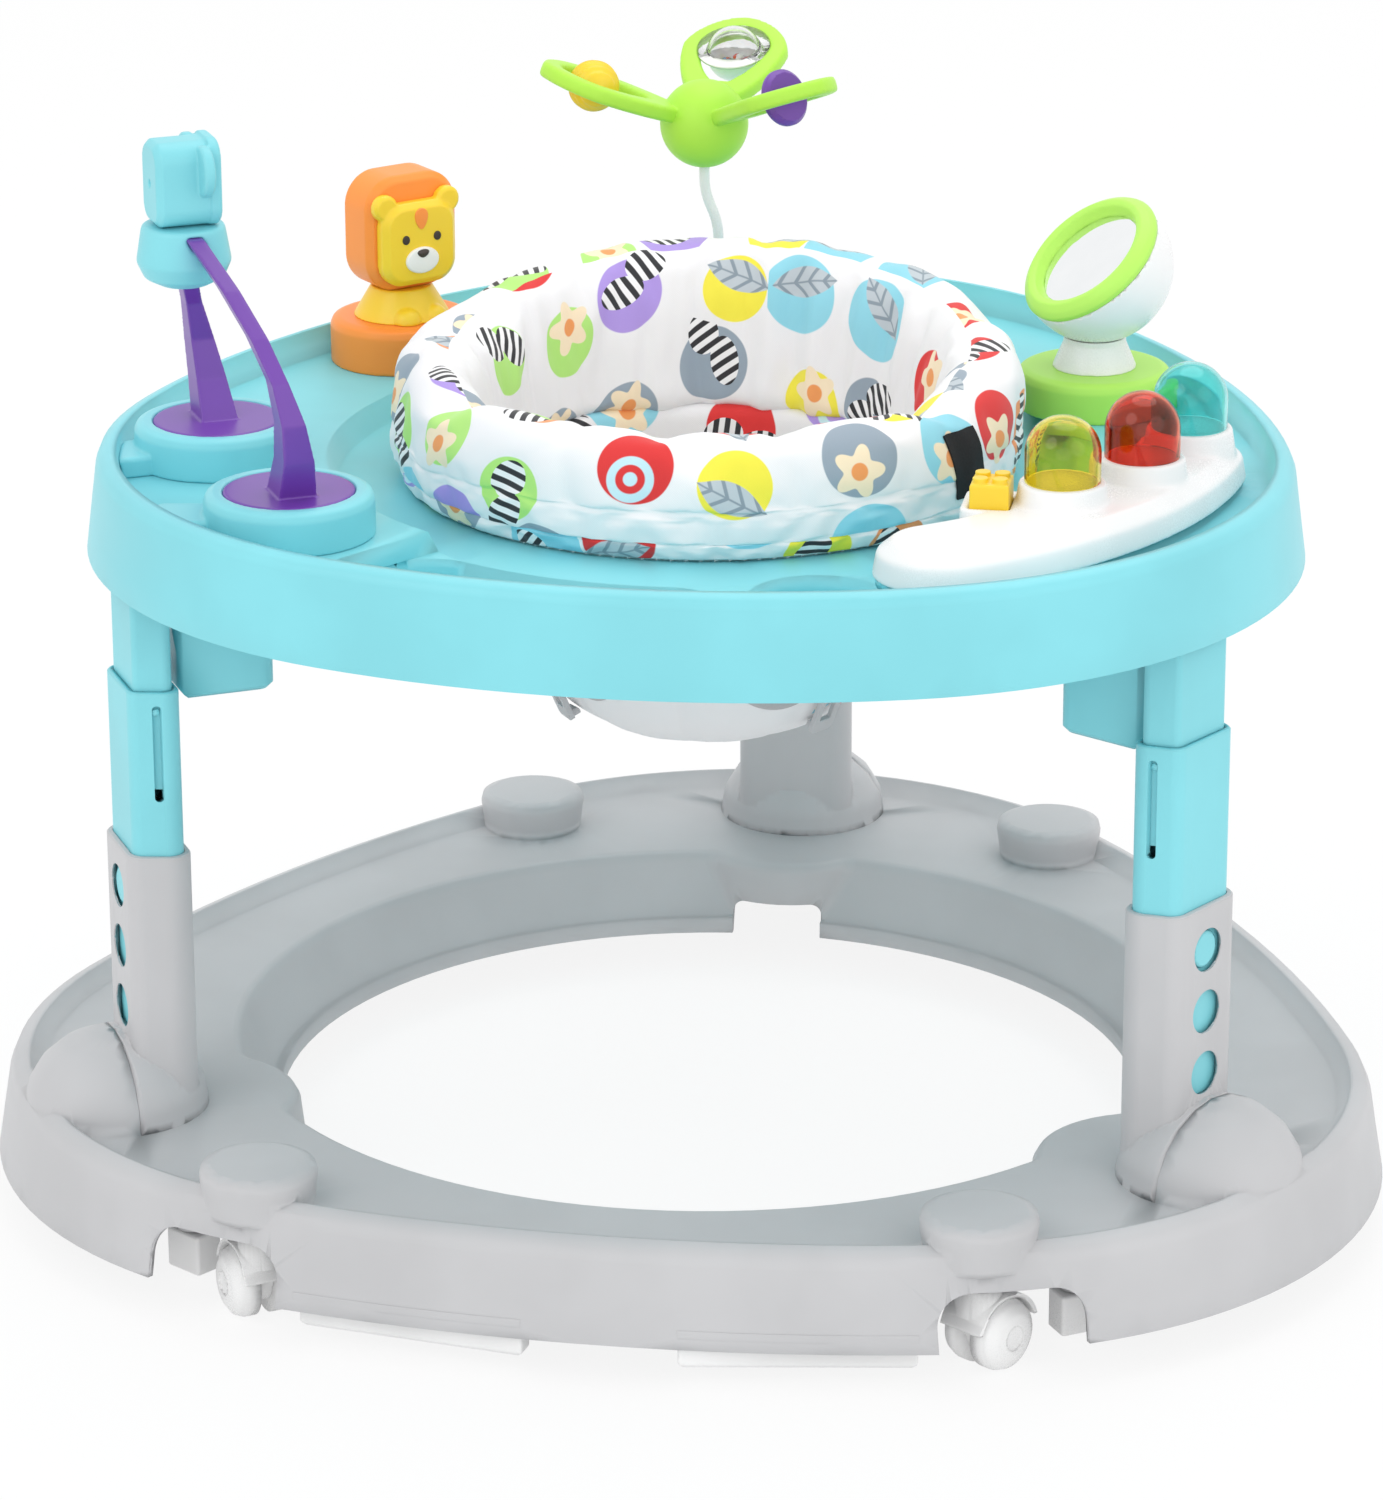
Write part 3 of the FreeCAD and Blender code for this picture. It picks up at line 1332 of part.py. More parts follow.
def mirror_body():
    """White foot with a socket for the bowl behind the mirror."""
    low = tray_top_z + mirror_drum_height
    foot = Part.makeCone(mirror_foot_radius, mirror_ball_radius, mirror_foot_height, V(0, 0, low))
    neck = Part.makeCylinder(mirror_ball_radius, mirror_z - low - mirror_shell_radius / 2, V(0, 0, low))
    body = joined([foot, neck]).cut(Part.makeSphere(mirror_shell_radius + fit_gap, V(0, 0, mirror_z)))
    bore = Part.makeCylinder(mirror_pin_radius + run_gap, mirror_z - mirror_pin_foot_z + fit_gap,
                             V(0, 0, mirror_pin_foot_z - fit_gap))
    return toy_frame(body.cut(bore), mirror_place, mirror_turn)


def mirror_bowl():
    """White bowl, a ball with its front cut off, on a pin."""
    bowl = Part.makeSphere(mirror_shell_radius)
    side = 2 * mirror_shell_radius
    bowl = mirror_pose(bowl.common(block(V(-side, -side, -side), V(side, side, mirror_face))))
    pin = Part.makeCylinder(mirror_pin_radius, mirror_z - mirror_shell_radius * 3 / 4 - mirror_pin_foot_z,
                            mirror_place + V(0, 0, mirror_pin_foot_z))
    return joined([bowl, pin])


def mirror_frame():
    """Broad soft ring on the front of the bowl."""
    outer = mirror_ring_radius
    width = mirror_ring_width
    inner = outer - width
    foot = mirror_face
    top = mirror_face + mirror_ring_depth
    outline = [(inner, foot), (inner, foot + mirror_ring_depth / 3),
               (inner + width / 5, top - mirror_ring_depth / 9),
               (inner + width / 2, top), (outer - width / 6, top - mirror_ring_depth / 3),
               (outer, foot + mirror_ring_depth / 3), (outer - width / 20, foot)]
    return mirror_pose(lathe(outline))


def mirror_glass():
    """Silvered sheet in the ring."""
    radius = mirror_ring_radius - mirror_ring_width - run_gap
    return mirror_pose(Part.makeCylinder(radius, mirror_glass_depth, V(0, 0, mirror_face + run_gap)))


def sound_housing():
    """Curved housing along the rim with three pedestals."""
    body = annular_slot(sound_reach, sound_half_width, sound_angles[0], sound_angles[1],
                        sound_foot_z, sound_top_z, -sound_round / 2)
    body = bevelled(body, sound_round, at_height(sound_top_z))
    body = body.fuse(key_lobe(0, sound_foot_z, sound_top_z))
    for name, angle in lamp_angles.items():
        body = body.fuse(Part.makeCone(pedestal_radius, pedestal_top_radius,
                                       pedestal_top_z - sound_top_z + sound_round,
                                       polar(sound_reach + lamp_offsets[name], angle, sound_top_z - sound_round)))
    body = body.common(rim_keep_tall())
    cut = key_body(fit_gap, key_foot_z - key_travel - fit_gap)
    return body.cut(cut)


def rim_keep_tall():
    deep = tray_band + tray_band_slope + fit_gap
    rise = pedestal_top_z - tray_top_z + overrun
    slope = tray_band_slope * rise / (tray_rim_z - tray_top_z)
    return between(tray_outline(deep, tray_top_z), tray_outline(deep - slope, tray_top_z + rise))


def key_body(grow, low_z):
    body = block(V(-key_width / 2 - grow, -key_length / 2 - grow, low_z),
                 V(key_width / 2 + grow, key_length / 2 + grow, key_top_z))
    return turned(body, 0, polar(key_reach, key_angle))


def key_lobe(inset, low_z, high_z):
    """Part of the housing that carries the key on its inner side."""
    half = key_width / 2 + key_margin - inset
    lobe = rounded(block(V(-half, -half, low_z), V(half, key_length, high_z)), key_margin, upright)
    return turned(lobe, 0, polar(key_reach, key_angle))


def sound_plinth():
    """Low step of the tray under the light and sound toy."""
    top = tray_top_z + plinth_height
    step = annular_slot(sound_reach, sound_half_width - plinth_inset, sound_angles[0], sound_angles[1],
                        tray_top_z - fit_gap, top, 0)
    step = step.fuse(key_lobe(plinth_inset, tray_top_z - fit_gap, top))
    return step.common(rim_keep_tall())


def sound_key():
    """Square key with four studs that presses into the housing."""
    body = block(V(-key_width / 2, -key_length / 2, key_foot_z), V(key_width / 2, key_length / 2, key_top_z))
    body = rounded(body, key_round, lambda edge: edge.BoundBox.ZMin > key_foot_z + fit_gap)
    studs = [body]
    for along in (-1, 1):
        for across in (-1, 1):
            studs.append(Part.makeCylinder(key_stud_radius, key_stud_height,
                                           V(along * key_width / 4, across * key_length / 4, key_top_z)))
    return turned(joined(studs), 0, polar(key_reach, key_angle))


def lamp_dome(name):
    """Thin transparent dome on its pedestal."""
    def bullet(radius, height):
        straight = height - radius
        edges = [Part.makeLine(V(0, 0, 0), V(radius, 0, 0)),
                 Part.makeLine(V(radius, 0, 0), V(radius, 0, straight)),
                 arc_edge(V(radius, 0, straight), polar_side(radius, 45, straight), V(0, 0, height)),
                 Part.makeLine(V(0, 0, height), V(0, 0, 0))]
        return Part.Face(Part.Wire(edges)).revolve(ORIGIN, UP, 360)
    shell = bullet(dome_lamp_radius, dome_lamp_height)
    shell = shell.cut(bullet(dome_lamp_radius - dome_lamp_wall, dome_lamp_height - dome_lamp_wall))
    shell.translate(polar(sound_reach + lamp_offsets[name], lamp_angles[name], pedestal_top_z))
    return shell


def polar_side(radius, angle, z):
    """Point of an upright arc in the XZ plane."""
    turn = math.radians(angle)
    return V(radius * math.cos(turn), 0, z + radius * math.sin(turn))


def wand_base():
    """Socket of the wand, flared so that the stem can sway."""
    drum = toy_drum(wand_drum_radius, wand_drum_height)
    low = tray_top_z + wand_drum_height / 2
    flare = math.tan(math.radians(wand_sway_angle)) * wand_drum_height / 2
    bore = Part.makeCone(wand_radius + run_gap, wand_radius + flare + 2 * fit_gap, wand_drum_height / 2,
                         V(0, 0, low))
    foot = Part.makeCylinder(wand_radius + run_gap, 2 * fit_gap, V(0, 0, low - 2 * fit_gap))
    return turned(drum.cut(joined([bore, foot])), 0, wand_place)


def wand_stem():
    """Flexible stem: a straight foot and a bend of four equal arcs, out and back."""
    low = tray_top_z + wand_drum_height / 2
    start = tray_top_z + wand_drum_height
    step = (wand_top_z - flower_hub_radius / 2 - start) / 4
    half = wand_bend / 2
    radius = (step ** 2 + half ** 2) / (2 * half)
    turn = math.asin(step / radius) / 2
    rise = radius * math.sin(turn)
    drift = radius * (1 - math.cos(turn))
    stops = [0, half, wand_bend, half, 0]
    middles = [drift, wand_bend - drift, wand_bend - drift, drift]
    rises = [rise, step - rise, rise, step - rise]
    edges = [Part.makeLine(V(0, 0, low), V(0, 0, start))]
    for number in range(4):
        z = start + number * step
        edges.append(arc_edge(V(stops[number], 0, z), V(middles[number], 0, z + rises[number]),
                              V(stops[number + 1], 0, z + step)))
    edges.append(Part.makeLine(V(0, 0, start + 4 * step), V(0, 0, wand_top_z)))
    circle = Part.Wire(Part.makeCircle(wand_radius, V(0, 0, low), UP))
    stem = Part.Wire(edges).makePipeShell([circle], True, False)
    return turned(stem, 0, wand_place)


def petal_wire(start, reach, half_width, z):
    """Leaf outline: narrow at the hub, widest past the middle and round at the tip."""
    wide = start + (reach - start) * 2 / 3
    tip = reach - half_width / 3
    edges = [arc_edge(V(start, -half_width / 4, z), V((start + wide) / 2, -half_width * 4 / 5, z),
                      V(wide, -half_width, z)),
             arc_edge(V(wide, -half_width, z), V(tip, -half_width * 2 / 3, z), V(reach, 0, z)),
             arc_edge(V(reach, 0, z), V(tip, half_width * 2 / 3, z), V(wide, half_width, z)),
             arc_edge(V(wide, half_width, z), V((start + wide) / 2, half_width * 4 / 5, z),
                      V(start, half_width / 4, z)),
             Part.makeLine(V(start, half_width / 4, z), V(start, -half_width / 4, z))]
    return Part.Wire(edges)


def flower():
    """Hub with three raised petals, each a frame around its toy."""
    hub = Part.makeSphere(flower_hub_radius, V(0, 0, 0))
    tilt = math.degrees(math.atan2(petal_rise, petal_reach))
    pieces = [hub]
    for angle in petal_angles.values():
        outer = Part.Face(petal_wire(petal_start, petal_reach, petal_width / 2, -petal_thickness / 2))
        inner = Part.Face(petal_wire(petal_eye_start, petal_reach - petal_band,
                                     petal_width / 2 - petal_band, -petal_thickness))
        petal = outer.extrude(V(0, 0, petal_thickness)).cut(inner.extrude(V(0, 0, 2 * petal_thickness)))
        half = petal_width / 2 - petal_band + spin_pin_depth + fit_gap
        petal = petal.cut(Part.makeCylinder(spin_pin_radius + run_gap, 2 * half,
                                            V(petal_eye_reach, -half, 0), ACROSS))
        petal.rotate(ORIGIN, ACROSS, -tilt)
        pieces.append(turned(petal, angle))
    body = joined(pieces)
    body.translate(V(0, 0, flower_hub_z))
    bore = Part.makeCylinder(wand_radius + run_gap, flower_hub_radius,
                             V(0, 0, wand_top_z - flower_hub_radius))
    return turned(body.cut(bore), 0, wand_place)


def eye_pose(shape, name):
    """From a toy's own centre to the eye of its petal."""
    tilt = math.degrees(math.atan2(petal_rise, petal_reach))
    copy = shape.copy()
    copy.translate(V(petal_eye_reach, 0, 0))
    copy.rotate(ORIGIN, ACROSS, -tilt)
    copy.translate(V(0, 0, flower_hub_z))
    return turned(copy, petal_angles[name], wand_place)


def rattle_bubble():
    flange = Part.makeCylinder(bubble_flange_radius, bubble_flange, V(0, 0, petal_thickness / 2))
    shell = joined([Part.makeSphere(bubble_radius), flange]).cut(Part.makeSphere(bubble_radius - bubble_wall))
    return eye_pose(shell, "back")


def rattle_beads():
    beads = []
    reach = bubble_radius - bubble_wall - bead_radius - fit_gap
    for turn in range(bead_count):
        angle = turn * 360 / bead_count
        spot = polar(reach * 3 / 5, angle, -reach * 3 / 4)
        waist = bead_radius / 2
        beads.append(lathe([(0, -bead_radius), (bead_radius, -waist), (bead_radius, waist),
                            (0, bead_radius)], spot))
    return eye_pose(Part.makeCompound(beads), "back")


def spin_pin():
    """Pin across a petal's eye."""
    half = petal_width / 2 - petal_band + spin_pin_depth
    return Part.makeCylinder(spin_pin_radius, 2 * half, V(0, -half, 0), ACROSS)


def rattle_ball():
    """Ribbed ball on its pin."""
    outline = [(0, -rattle_radius)]
    steps = 2 * rattle_ribs + 1
    for step in range(1, steps):
        z = rattle_radius * (2 * step / steps - 1)
        dip = rattle_rib_depth if step % 2 else 0
        outline.append((math.sqrt(rattle_radius ** 2 - z ** 2) - dip, z))
    ball = lathe(outline + [(0, rattle_radius)])
    ball.rotate(ORIGIN, OUT, 90)
    return eye_pose(joined([ball, spin_pin()]), "left")


def spin_disc():
    """Flat disc on its pin."""
    disc = Part.makeCylinder(spin_disc_radius, spin_disc_thickness, V(-spin_disc_thickness / 2, 0, 0), OUT)
    disc = disc.makeChamfer(spin_disc_thickness / 3, disc.Edges)
    return eye_pose(joined([disc, spin_pin()]), "right")


def parts():
    """Every part by its name."""
    made = {"base_tray": base_tray(), "friction_strips": friction_strips(), "sleeve_screws": sleeve_screws()}
    for name, angle in leg_angles.items():
        made["leg_sleeve_" + name] = leg_sleeve(angle)
        made["mid_tube_" + name] = mid_tube(angle)
        made["lock_button_" + name] = lock_button(angle)
        made["tray_post_" + name] = tray_post(angle)
    made["bounce_springs"] = bounce_springs()
    for name, (place, side) in boss_places().items():
        made["caster_fork_" + name] = caster_fork(place)
        made["caster_wheel_" + name] = caster_wheel(place)
        made["stop_foot_" + name] = stop_foot(place, side)
    made["tray_shell"] = tray_shell()
    made["seat_ring"] = seat_ring()
    made["seat_retainer"] = seat_retainer()
    made["seat_rim_pad"] = seat_rim_pad()
    made["seat_pouch"] = seat_pouch()
    made["seat_clips"] = seat_clips()
    made["link_bases"] = link_bases()
    made["link_arm_front"] = link_arm(link_front)
    made["link_arm_back"] = link_arm(link_back)
    made["link_neck"] = link_neck()
    made["link_head"] = link_head()
    made["lion_base"] = lion_base()
    made["lion_body"] = lion_body()
    made["lion_head"] = lion_head()
    made["lion_face"] = lion_face()
    made["mirror_base"] = mirror_base()
    made["mirror_body"] = mirror_body()
    made["mirror_bowl"] = mirror_bowl()
    made["mirror_frame"] = mirror_frame()
    made["mirror_glass"] = mirror_glass()
    made["sound_housing"] = sound_housing()
    for name in lamp_angles:
        made["lamp_dome_" + name] = lamp_dome(name)
    made["sound_key"] = sound_key()
    made["wand_base"] = wand_base()
    made["wand_stem"] = wand_stem()
    made["flower"] = flower()
    made["rattle_bubble"] = rattle_bubble()
    made["rattle_beads"] = rattle_beads()
    made["rattle_ball"] = rattle_ball()
    made["spin_disc"] = spin_disc()
    return made


os.makedirs("parts", exist_ok=True)
footprint_middle = V(0, (base_corner_reach - base_flat_reach) / 2, 0)
for part_name, shape in parts().items():
    shape.translate(footprint_middle * -1)
    shape.exportStep(os.path.join("parts", part_name + ".step"))
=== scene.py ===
import bpy
import bmesh
import json
import math
from mathutils import Matrix, Quaternion, Vector, noise
from mathutils.bvhtree import BVHTree

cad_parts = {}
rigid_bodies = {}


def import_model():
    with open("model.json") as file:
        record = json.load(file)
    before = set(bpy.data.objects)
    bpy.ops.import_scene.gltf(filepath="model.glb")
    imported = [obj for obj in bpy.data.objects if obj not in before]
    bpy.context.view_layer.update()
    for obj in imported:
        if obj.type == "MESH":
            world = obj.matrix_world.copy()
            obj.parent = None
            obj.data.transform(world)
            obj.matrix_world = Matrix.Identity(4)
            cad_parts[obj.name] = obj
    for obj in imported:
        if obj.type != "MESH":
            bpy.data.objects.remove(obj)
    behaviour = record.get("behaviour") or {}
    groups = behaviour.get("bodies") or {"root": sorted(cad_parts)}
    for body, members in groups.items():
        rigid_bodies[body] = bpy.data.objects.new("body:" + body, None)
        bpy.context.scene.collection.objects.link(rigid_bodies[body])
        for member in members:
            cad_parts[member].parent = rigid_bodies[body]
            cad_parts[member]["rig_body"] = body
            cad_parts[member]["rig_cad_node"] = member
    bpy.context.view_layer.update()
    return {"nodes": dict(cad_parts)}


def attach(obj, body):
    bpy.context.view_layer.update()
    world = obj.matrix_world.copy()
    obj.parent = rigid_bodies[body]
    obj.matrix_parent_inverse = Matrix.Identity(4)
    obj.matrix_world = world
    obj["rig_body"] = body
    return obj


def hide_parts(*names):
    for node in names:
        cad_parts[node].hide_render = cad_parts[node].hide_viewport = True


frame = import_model()

# Base: one grey moulding with a rim, a sunken deck, caster housings and a dome behind
# each leg. It is injection moulded in matt plastic with a fine spark-eroded grain.
MM = 0.001
GREY = (0.53, 0.53, 0.542)


class Value:
    """A socket of a material. Sums and products with it add Math nodes."""

    def __init__(self, tree, source):
        self.tree = tree
        self.source = source

    def node(self, kind, settings=None, inputs=None, output=0):
        """Any other node: its settings first, then the values or links of its sockets."""
        made = self.tree.nodes.new(kind)
        for key, value in (settings or {}).items():
            if key == "stops":
                while len(made.color_ramp.elements) < len(value):
                    made.color_ramp.elements.new(1.0)
                for stop, (position, colour) in zip(made.color_ramp.elements, value):
                    stop.position = position
                    stop.color = (*colour, 1.0)
            elif key == "steps":
                made.color_ramp.interpolation = value
            else:
                setattr(made, key, value)
        for key, value in (inputs or {}).items():
            if isinstance(value, Value):
                self.tree.links.new(value.source, made.inputs[key])
            else:
                made.inputs[key].default_value = value
        return Value(self.tree, made.outputs[output])

    def math(self, operation, *others):
        sockets = dict(enumerate((self,) + others))
        return self.node("ShaderNodeMath", {"operation": operation}, sockets)

    def output(self, number):
        """Another socket of the node that this value comes from."""
        return Value(self.tree, self.source.node.outputs[number])

    def power(self, exponent):
        return self.math("POWER", exponent)

    def length(self):
        return self.node("ShaderNodeVectorMath", {"operation": "LENGTH"}, {0: self}, 1)

    def vector(self, operation, other):
        return self.node("ShaderNodeVectorMath", {"operation": operation}, {0: self, 1: other})

    def mix(self, first, second):
        """Colour between two others, with this value as the share of the second."""
        return self.node("ShaderNodeMix", {"data_type": "RGBA"}, {0: self, 6: first, 7: second}, 2)

    def step(self, low, high):
        """0 below low, 1 above high and smooth between."""
        return self.node("ShaderNodeMapRange", {"interpolation_type": "SMOOTHSTEP"},
                         {"Value": self, "From Min": low, "From Max": high})

    def speckle(self, scale, detail):
        """Noise texture at these coordinates."""
        return self.node("ShaderNodeTexNoise", inputs={"Vector": self, "Scale": scale, "Detail": detail})

    def __add__(self, other):
        return self.math("ADD", other)

    def __sub__(self, other):
        return self.math("SUBTRACT", other)

    def __rsub__(self, other):
        return self.node("ShaderNodeMath", {"operation": "SUBTRACT"}, {0: other, 1: self})

    def __mul__(self, other):
        return self.math("MULTIPLY", other)

    __radd__ = __add__
    __rmul__ = __mul__


def new_finish(name, **constants):
    """Material with its shader, and its coordinates on the object."""
    material = bpy.data.materials.new(name)
    material.use_nodes = True
    shader = material.node_tree.nodes["Principled BSDF"]
    for key, value in constants.items():
        shader.inputs[key.replace("_", " ")].default_value = value
    place = Value(material.node_tree, material.node_tree.nodes.new("ShaderNodeTexCoord").outputs["Object"])
    return material, shader, place


def give(shader, **inputs):
    """Links computed values to the shader."""
    for key, value in inputs.items():
        value.tree.links.new(value.source, shader.inputs[key.replace("_", " ")])


def moulded(name, colour, roughness=0.42, grain=1400.0, depth=0.05, sheen=0.35):
    """Moulded plastic: a faint cloud in its colour and a fine grain."""
    material, shader, place = new_finish(name, Specular_IOR_Level=sheen)
    cloud = place.speckle(11.0, 3.0)
    pits = place.speckle(grain, 2.0)
    darker = tuple(0.95 * part for part in colour) + (1.0,)
    lighter = tuple(min(1.0, 1.03 * part) for part in colour) + (1.0,)
    bump = place.node("ShaderNodeBump", inputs={"Strength": 0.25, "Distance": depth * MM, "Height": pits})
    give(shader, Base_Color=cloud.step(0.3, 0.7).mix(darker, lighter),
         Roughness=cloud * 0.12 + pits * 0.06 + (roughness - 0.09), Normal=bump)
    return material


def only(*pieces):
    """Selects these pieces alone."""
    bpy.ops.object.select_all(action="DESELECT")
    for piece in pieces:
        piece.select_set(True)
    bpy.context.view_layer.objects.active = pieces[0]


def moulding(node, material, crease=50.0):
    """Copy of a moulded part with its facets merged into smooth faces, which stands for the part."""
    body = frame["nodes"][node]["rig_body"]
    only(frame["nodes"][node])
    bpy.ops.object.duplicate()
    piece = bpy.context.active_object
    piece.name = node + "_moulding"
    del piece["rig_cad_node"]
    bpy.ops.object.mode_set(mode="EDIT")
    bpy.ops.mesh.select_all(action="SELECT")
    bpy.ops.mesh.remove_doubles(threshold=0.004 * MM)
    bpy.ops.object.mode_set(mode="OBJECT")
    bpy.ops.object.shade_smooth_by_angle(angle=math.radians(crease))
    even = piece.modifiers.new("even", "WEIGHTED_NORMAL")
    even.keep_sharp = True
    piece.data.materials.clear()
    piece.data.materials.append(material)
    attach(piece, body)
    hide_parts(node)
    return piece


def softened(piece, grid, passes, thicker=0.0):
    """Rounds every edge of a moulding, and thickens it where it is blown fuller than its solid."""
    only(piece)
    for old in list(piece.modifiers):
        piece.modifiers.remove(old)
    even = piece.modifiers.new("even", "REMESH")
    even.mode = "VOXEL"
    even.voxel_size = grid * MM
    bpy.ops.object.modifier_apply(modifier="even")
    if thicker:
        fuller = piece.modifiers.new("fuller", "DISPLACE")
        fuller.strength = thicker * MM
        fuller.mid_level = 0.0
        bpy.ops.object.modifier_apply(modifier="fuller")
    smooth = piece.modifiers.new("smooth", "SMOOTH")
    smooth.factor = 0.5
    smooth.iterations = passes
    bpy.ops.object.modifier_apply(modifier="smooth")
    for face in piece.data.polygons:
        face.use_smooth = True
    return piece


grey_plastic = moulded("grey_matt_plastic", GREY)
moulding("base_tray", grey_plastic)

# Grip strips: six white soft strips held in ledges under the skirt, which catch an edge
# when a wheel drops over it. Rubbery, so duller than the wheels.
WHITE = (0.87, 0.87, 0.87)
white_rubber = moulded("white_rubber", WHITE, roughness=0.6, sheen=0.25)
softened(moulding("friction_strips", white_rubber), 0.9, 3)

# Casters: a white fork turns on a moulded stem in each housing, and a twin ball wheel
# turns on a moulded axle under its hood.
white_plastic = moulded("white_gloss_plastic", WHITE, roughness=0.28, depth=0.02, sheen=0.5)
for corner in ("front_left", "front_right", "back_left", "back_right"):
    moulding("caster_fork_" + corner, white_plastic, crease=40)
    moulding("caster_wheel_" + corner, white_plastic, crease=40)

# Stop feet: white blocks beside the casters, on stems that slide in round guides. They go
# down to the floor to park the walker.
for corner in ("front_left", "front_right", "back_left", "back_right"):
    softened(moulding("stop_foot_" + corner, white_plastic), 0.5, 4)

# Leg sleeves: grey outer tubes with a flared collar, screwed up through the deck, a
# shallow groove on the outer face and three holes for the lock button.
for side in ("back", "left", "right"):
    moulding("leg_sleeve_" + side, grey_plastic, crease=40)
steel, steel_shader, steel_place = new_finish("plain_steel", Metallic=1.0)
brushing = steel_place.speckle(700.0, 3.0)
give(steel_shader, Base_Color=brushing.mix((0.42, 0.42, 0.43, 1), (0.6, 0.6, 0.62, 1)),
     Roughness=brushing * 0.2 + 0.25)
moulding("sleeve_screws", steel, crease=30)

# Sliding tubes and lock buttons: turquoise, moulded in one colour with the tray. A coil
# spring of bare steel wire stands inside each tube, under the post of the tray.
TURQUOISE = (0.228, 0.66, 0.73)
turquoise_plastic = moulded("turquoise_satin_plastic", TURQUOISE, roughness=0.38, depth=0.03)
for side in ("back", "left", "right"):
    moulding("mid_tube_" + side, turquoise_plastic, crease=40)
    moulding("lock_button_" + side, turquoise_plastic, crease=40)
    moulding("tray_post_" + side, turquoise_plastic, crease=40)
moulding("bounce_springs", steel, crease=70)

# Tray: one turquoise moulding with a rolled rim, a basin round the seat and two wells. The
# low plinth of the light and sound toy is part of it.
moulding("tray_shell", turquoise_plastic)

# Seat ring: a white ring that turns in the tray on its flange, with a retainer clipped on
# from below. The cloth is sewn to it all round.
moulding("seat_ring", white_plastic, crease=30)
moulding("seat_retainer", white_plastic, crease=30)
softened(moulding("seat_clips", grey_plastic), 0.4, 3)

# Seat rim: foam wrapped in printed cloth and sewn to the seat ring, low in front and high
# at the back. One seam runs round near its foot and another halfway up its outer wall.
SEAT_MIDDLE = Vector((0, -30, 0))
RING_TOP = 381


def curve_point(a, b, c, d, t):
    """Point between b and c of a smooth curve through all four."""
    return 0.5 * (2 * b + (c - a) * t + (2 * a - 5 * b + 4 * c - d) * t * t
                  + (3 * b - a - 3 * c + d) * t ** 3)


def closed_curve(points, steps):
    """Smooth closed curve through the points, as (radius, height) pairs."""
    made = []
    count = len(points)
    for number in range(count):
        a, b, c, d = (Vector(points[(number + shift) % count]) for shift in (-1, 0, 1, 2))
        for step in range(steps):
            made.append(curve_point(a, b, c, d, step / steps))
    return made


def rim_crest(angle):
    """Height of the rim: level across the front, pinched at the corners and rising round the back."""
    crest = 443 + 26 * (0.5 + 0.5 * math.sin(angle)) ** 2.2
    for pinch in (math.radians(-27), math.radians(-143)):
        away = (angle - pinch + math.pi) % (2 * math.pi) - math.pi
        crest -= 5.5 * math.exp(-(away / 0.13) ** 2)
    return crest


# Walls of the section, as (share of its height, radius at the back, radius at the front).
OUTER_WALL = ((0.37, 168.6, 166.8), (0.425, 167.4, 164.6), (0.48, 168.3, 164.4), (0.66, 166.8, 158.5),
              (0.84, 163.0, 150.5), (0.955, 155.0, 143.0), (1.0, 146.0, 136.0))
INNER_WALL = ((0.972, 138.0, 129.5), (0.87, 130.0, 123.5), (0.69, 124.0, 119.5), (0.46, 120.0, 117.0),
              (0.23, 116.0, 115.0), (0.055, 113.0, 113.0))


def rim_section(angle):
    """Section of the rim at one angle, up its outer wall, down its inside and round the ring."""
    rise = rim_crest(angle) - RING_TOP
    lean = max(0.0, -math.sin(angle)) ** 0.7
    corner = 6.0 * math.sin(2 * (angle + math.pi / 2)) ** 2 * lean

    def wall(shares):
        points = []
        for share, back, front in shares:
            bulge = corner * min(1.0, share * 1.4 - 0.4 if share > 0.3 else 0.0)
            points.append((back + (front - back) * lean + bulge, RING_TOP + rise * share))
        return points

    foot = [(160.8, 381.4), (164.6, 385.6), (166.0, 389.4), (164.7, 390.8), (166.8, 392.3), (168.2, 399)]
    turned_in = [(121, 378.9), (135, 377.4), (143.4, 381), (144, 390), (148, 394.6), (152.8, 391),
                 (154.4, 386)]
    return foot + wall(OUTER_WALL) + wall(INNER_WALL) + turned_in


def sheet_of(name, rows, marks, loop_rows=True):
    """Quad mesh from rows of points round the seat, with cloth coordinates in millimetres / 100."""
    around = len(rows[0])
    count = len(rows)
    mesh = bpy.data.meshes.new(name)
    points = [point * MM for row in rows for point in row]
    faces = []
    coordinates = []
    for low in range(count if loop_rows else count - 1):
        high = (low + 1) % count
        for left in range(around):
            right = (left + 1) % around
            faces.append((low * around + left, low * around + right,
                          high * around + right, high * around + left))
            for row, column in ((low, left), (low, left + 1), (low + 1, left + 1), (low + 1, left)):
                coordinates.append(marks(low, row, column))
    mesh.from_pydata(points, [], faces)
    layer = mesh.uv_layers.new(name="cloth")
    for number, place in enumerate(coordinates):
        layer.data[number].uv = place
    for face in mesh.polygons:
        face.use_smooth = True
    piece = bpy.data.objects.new(name, mesh)
    bpy.context.collection.objects.link(piece)
    return piece


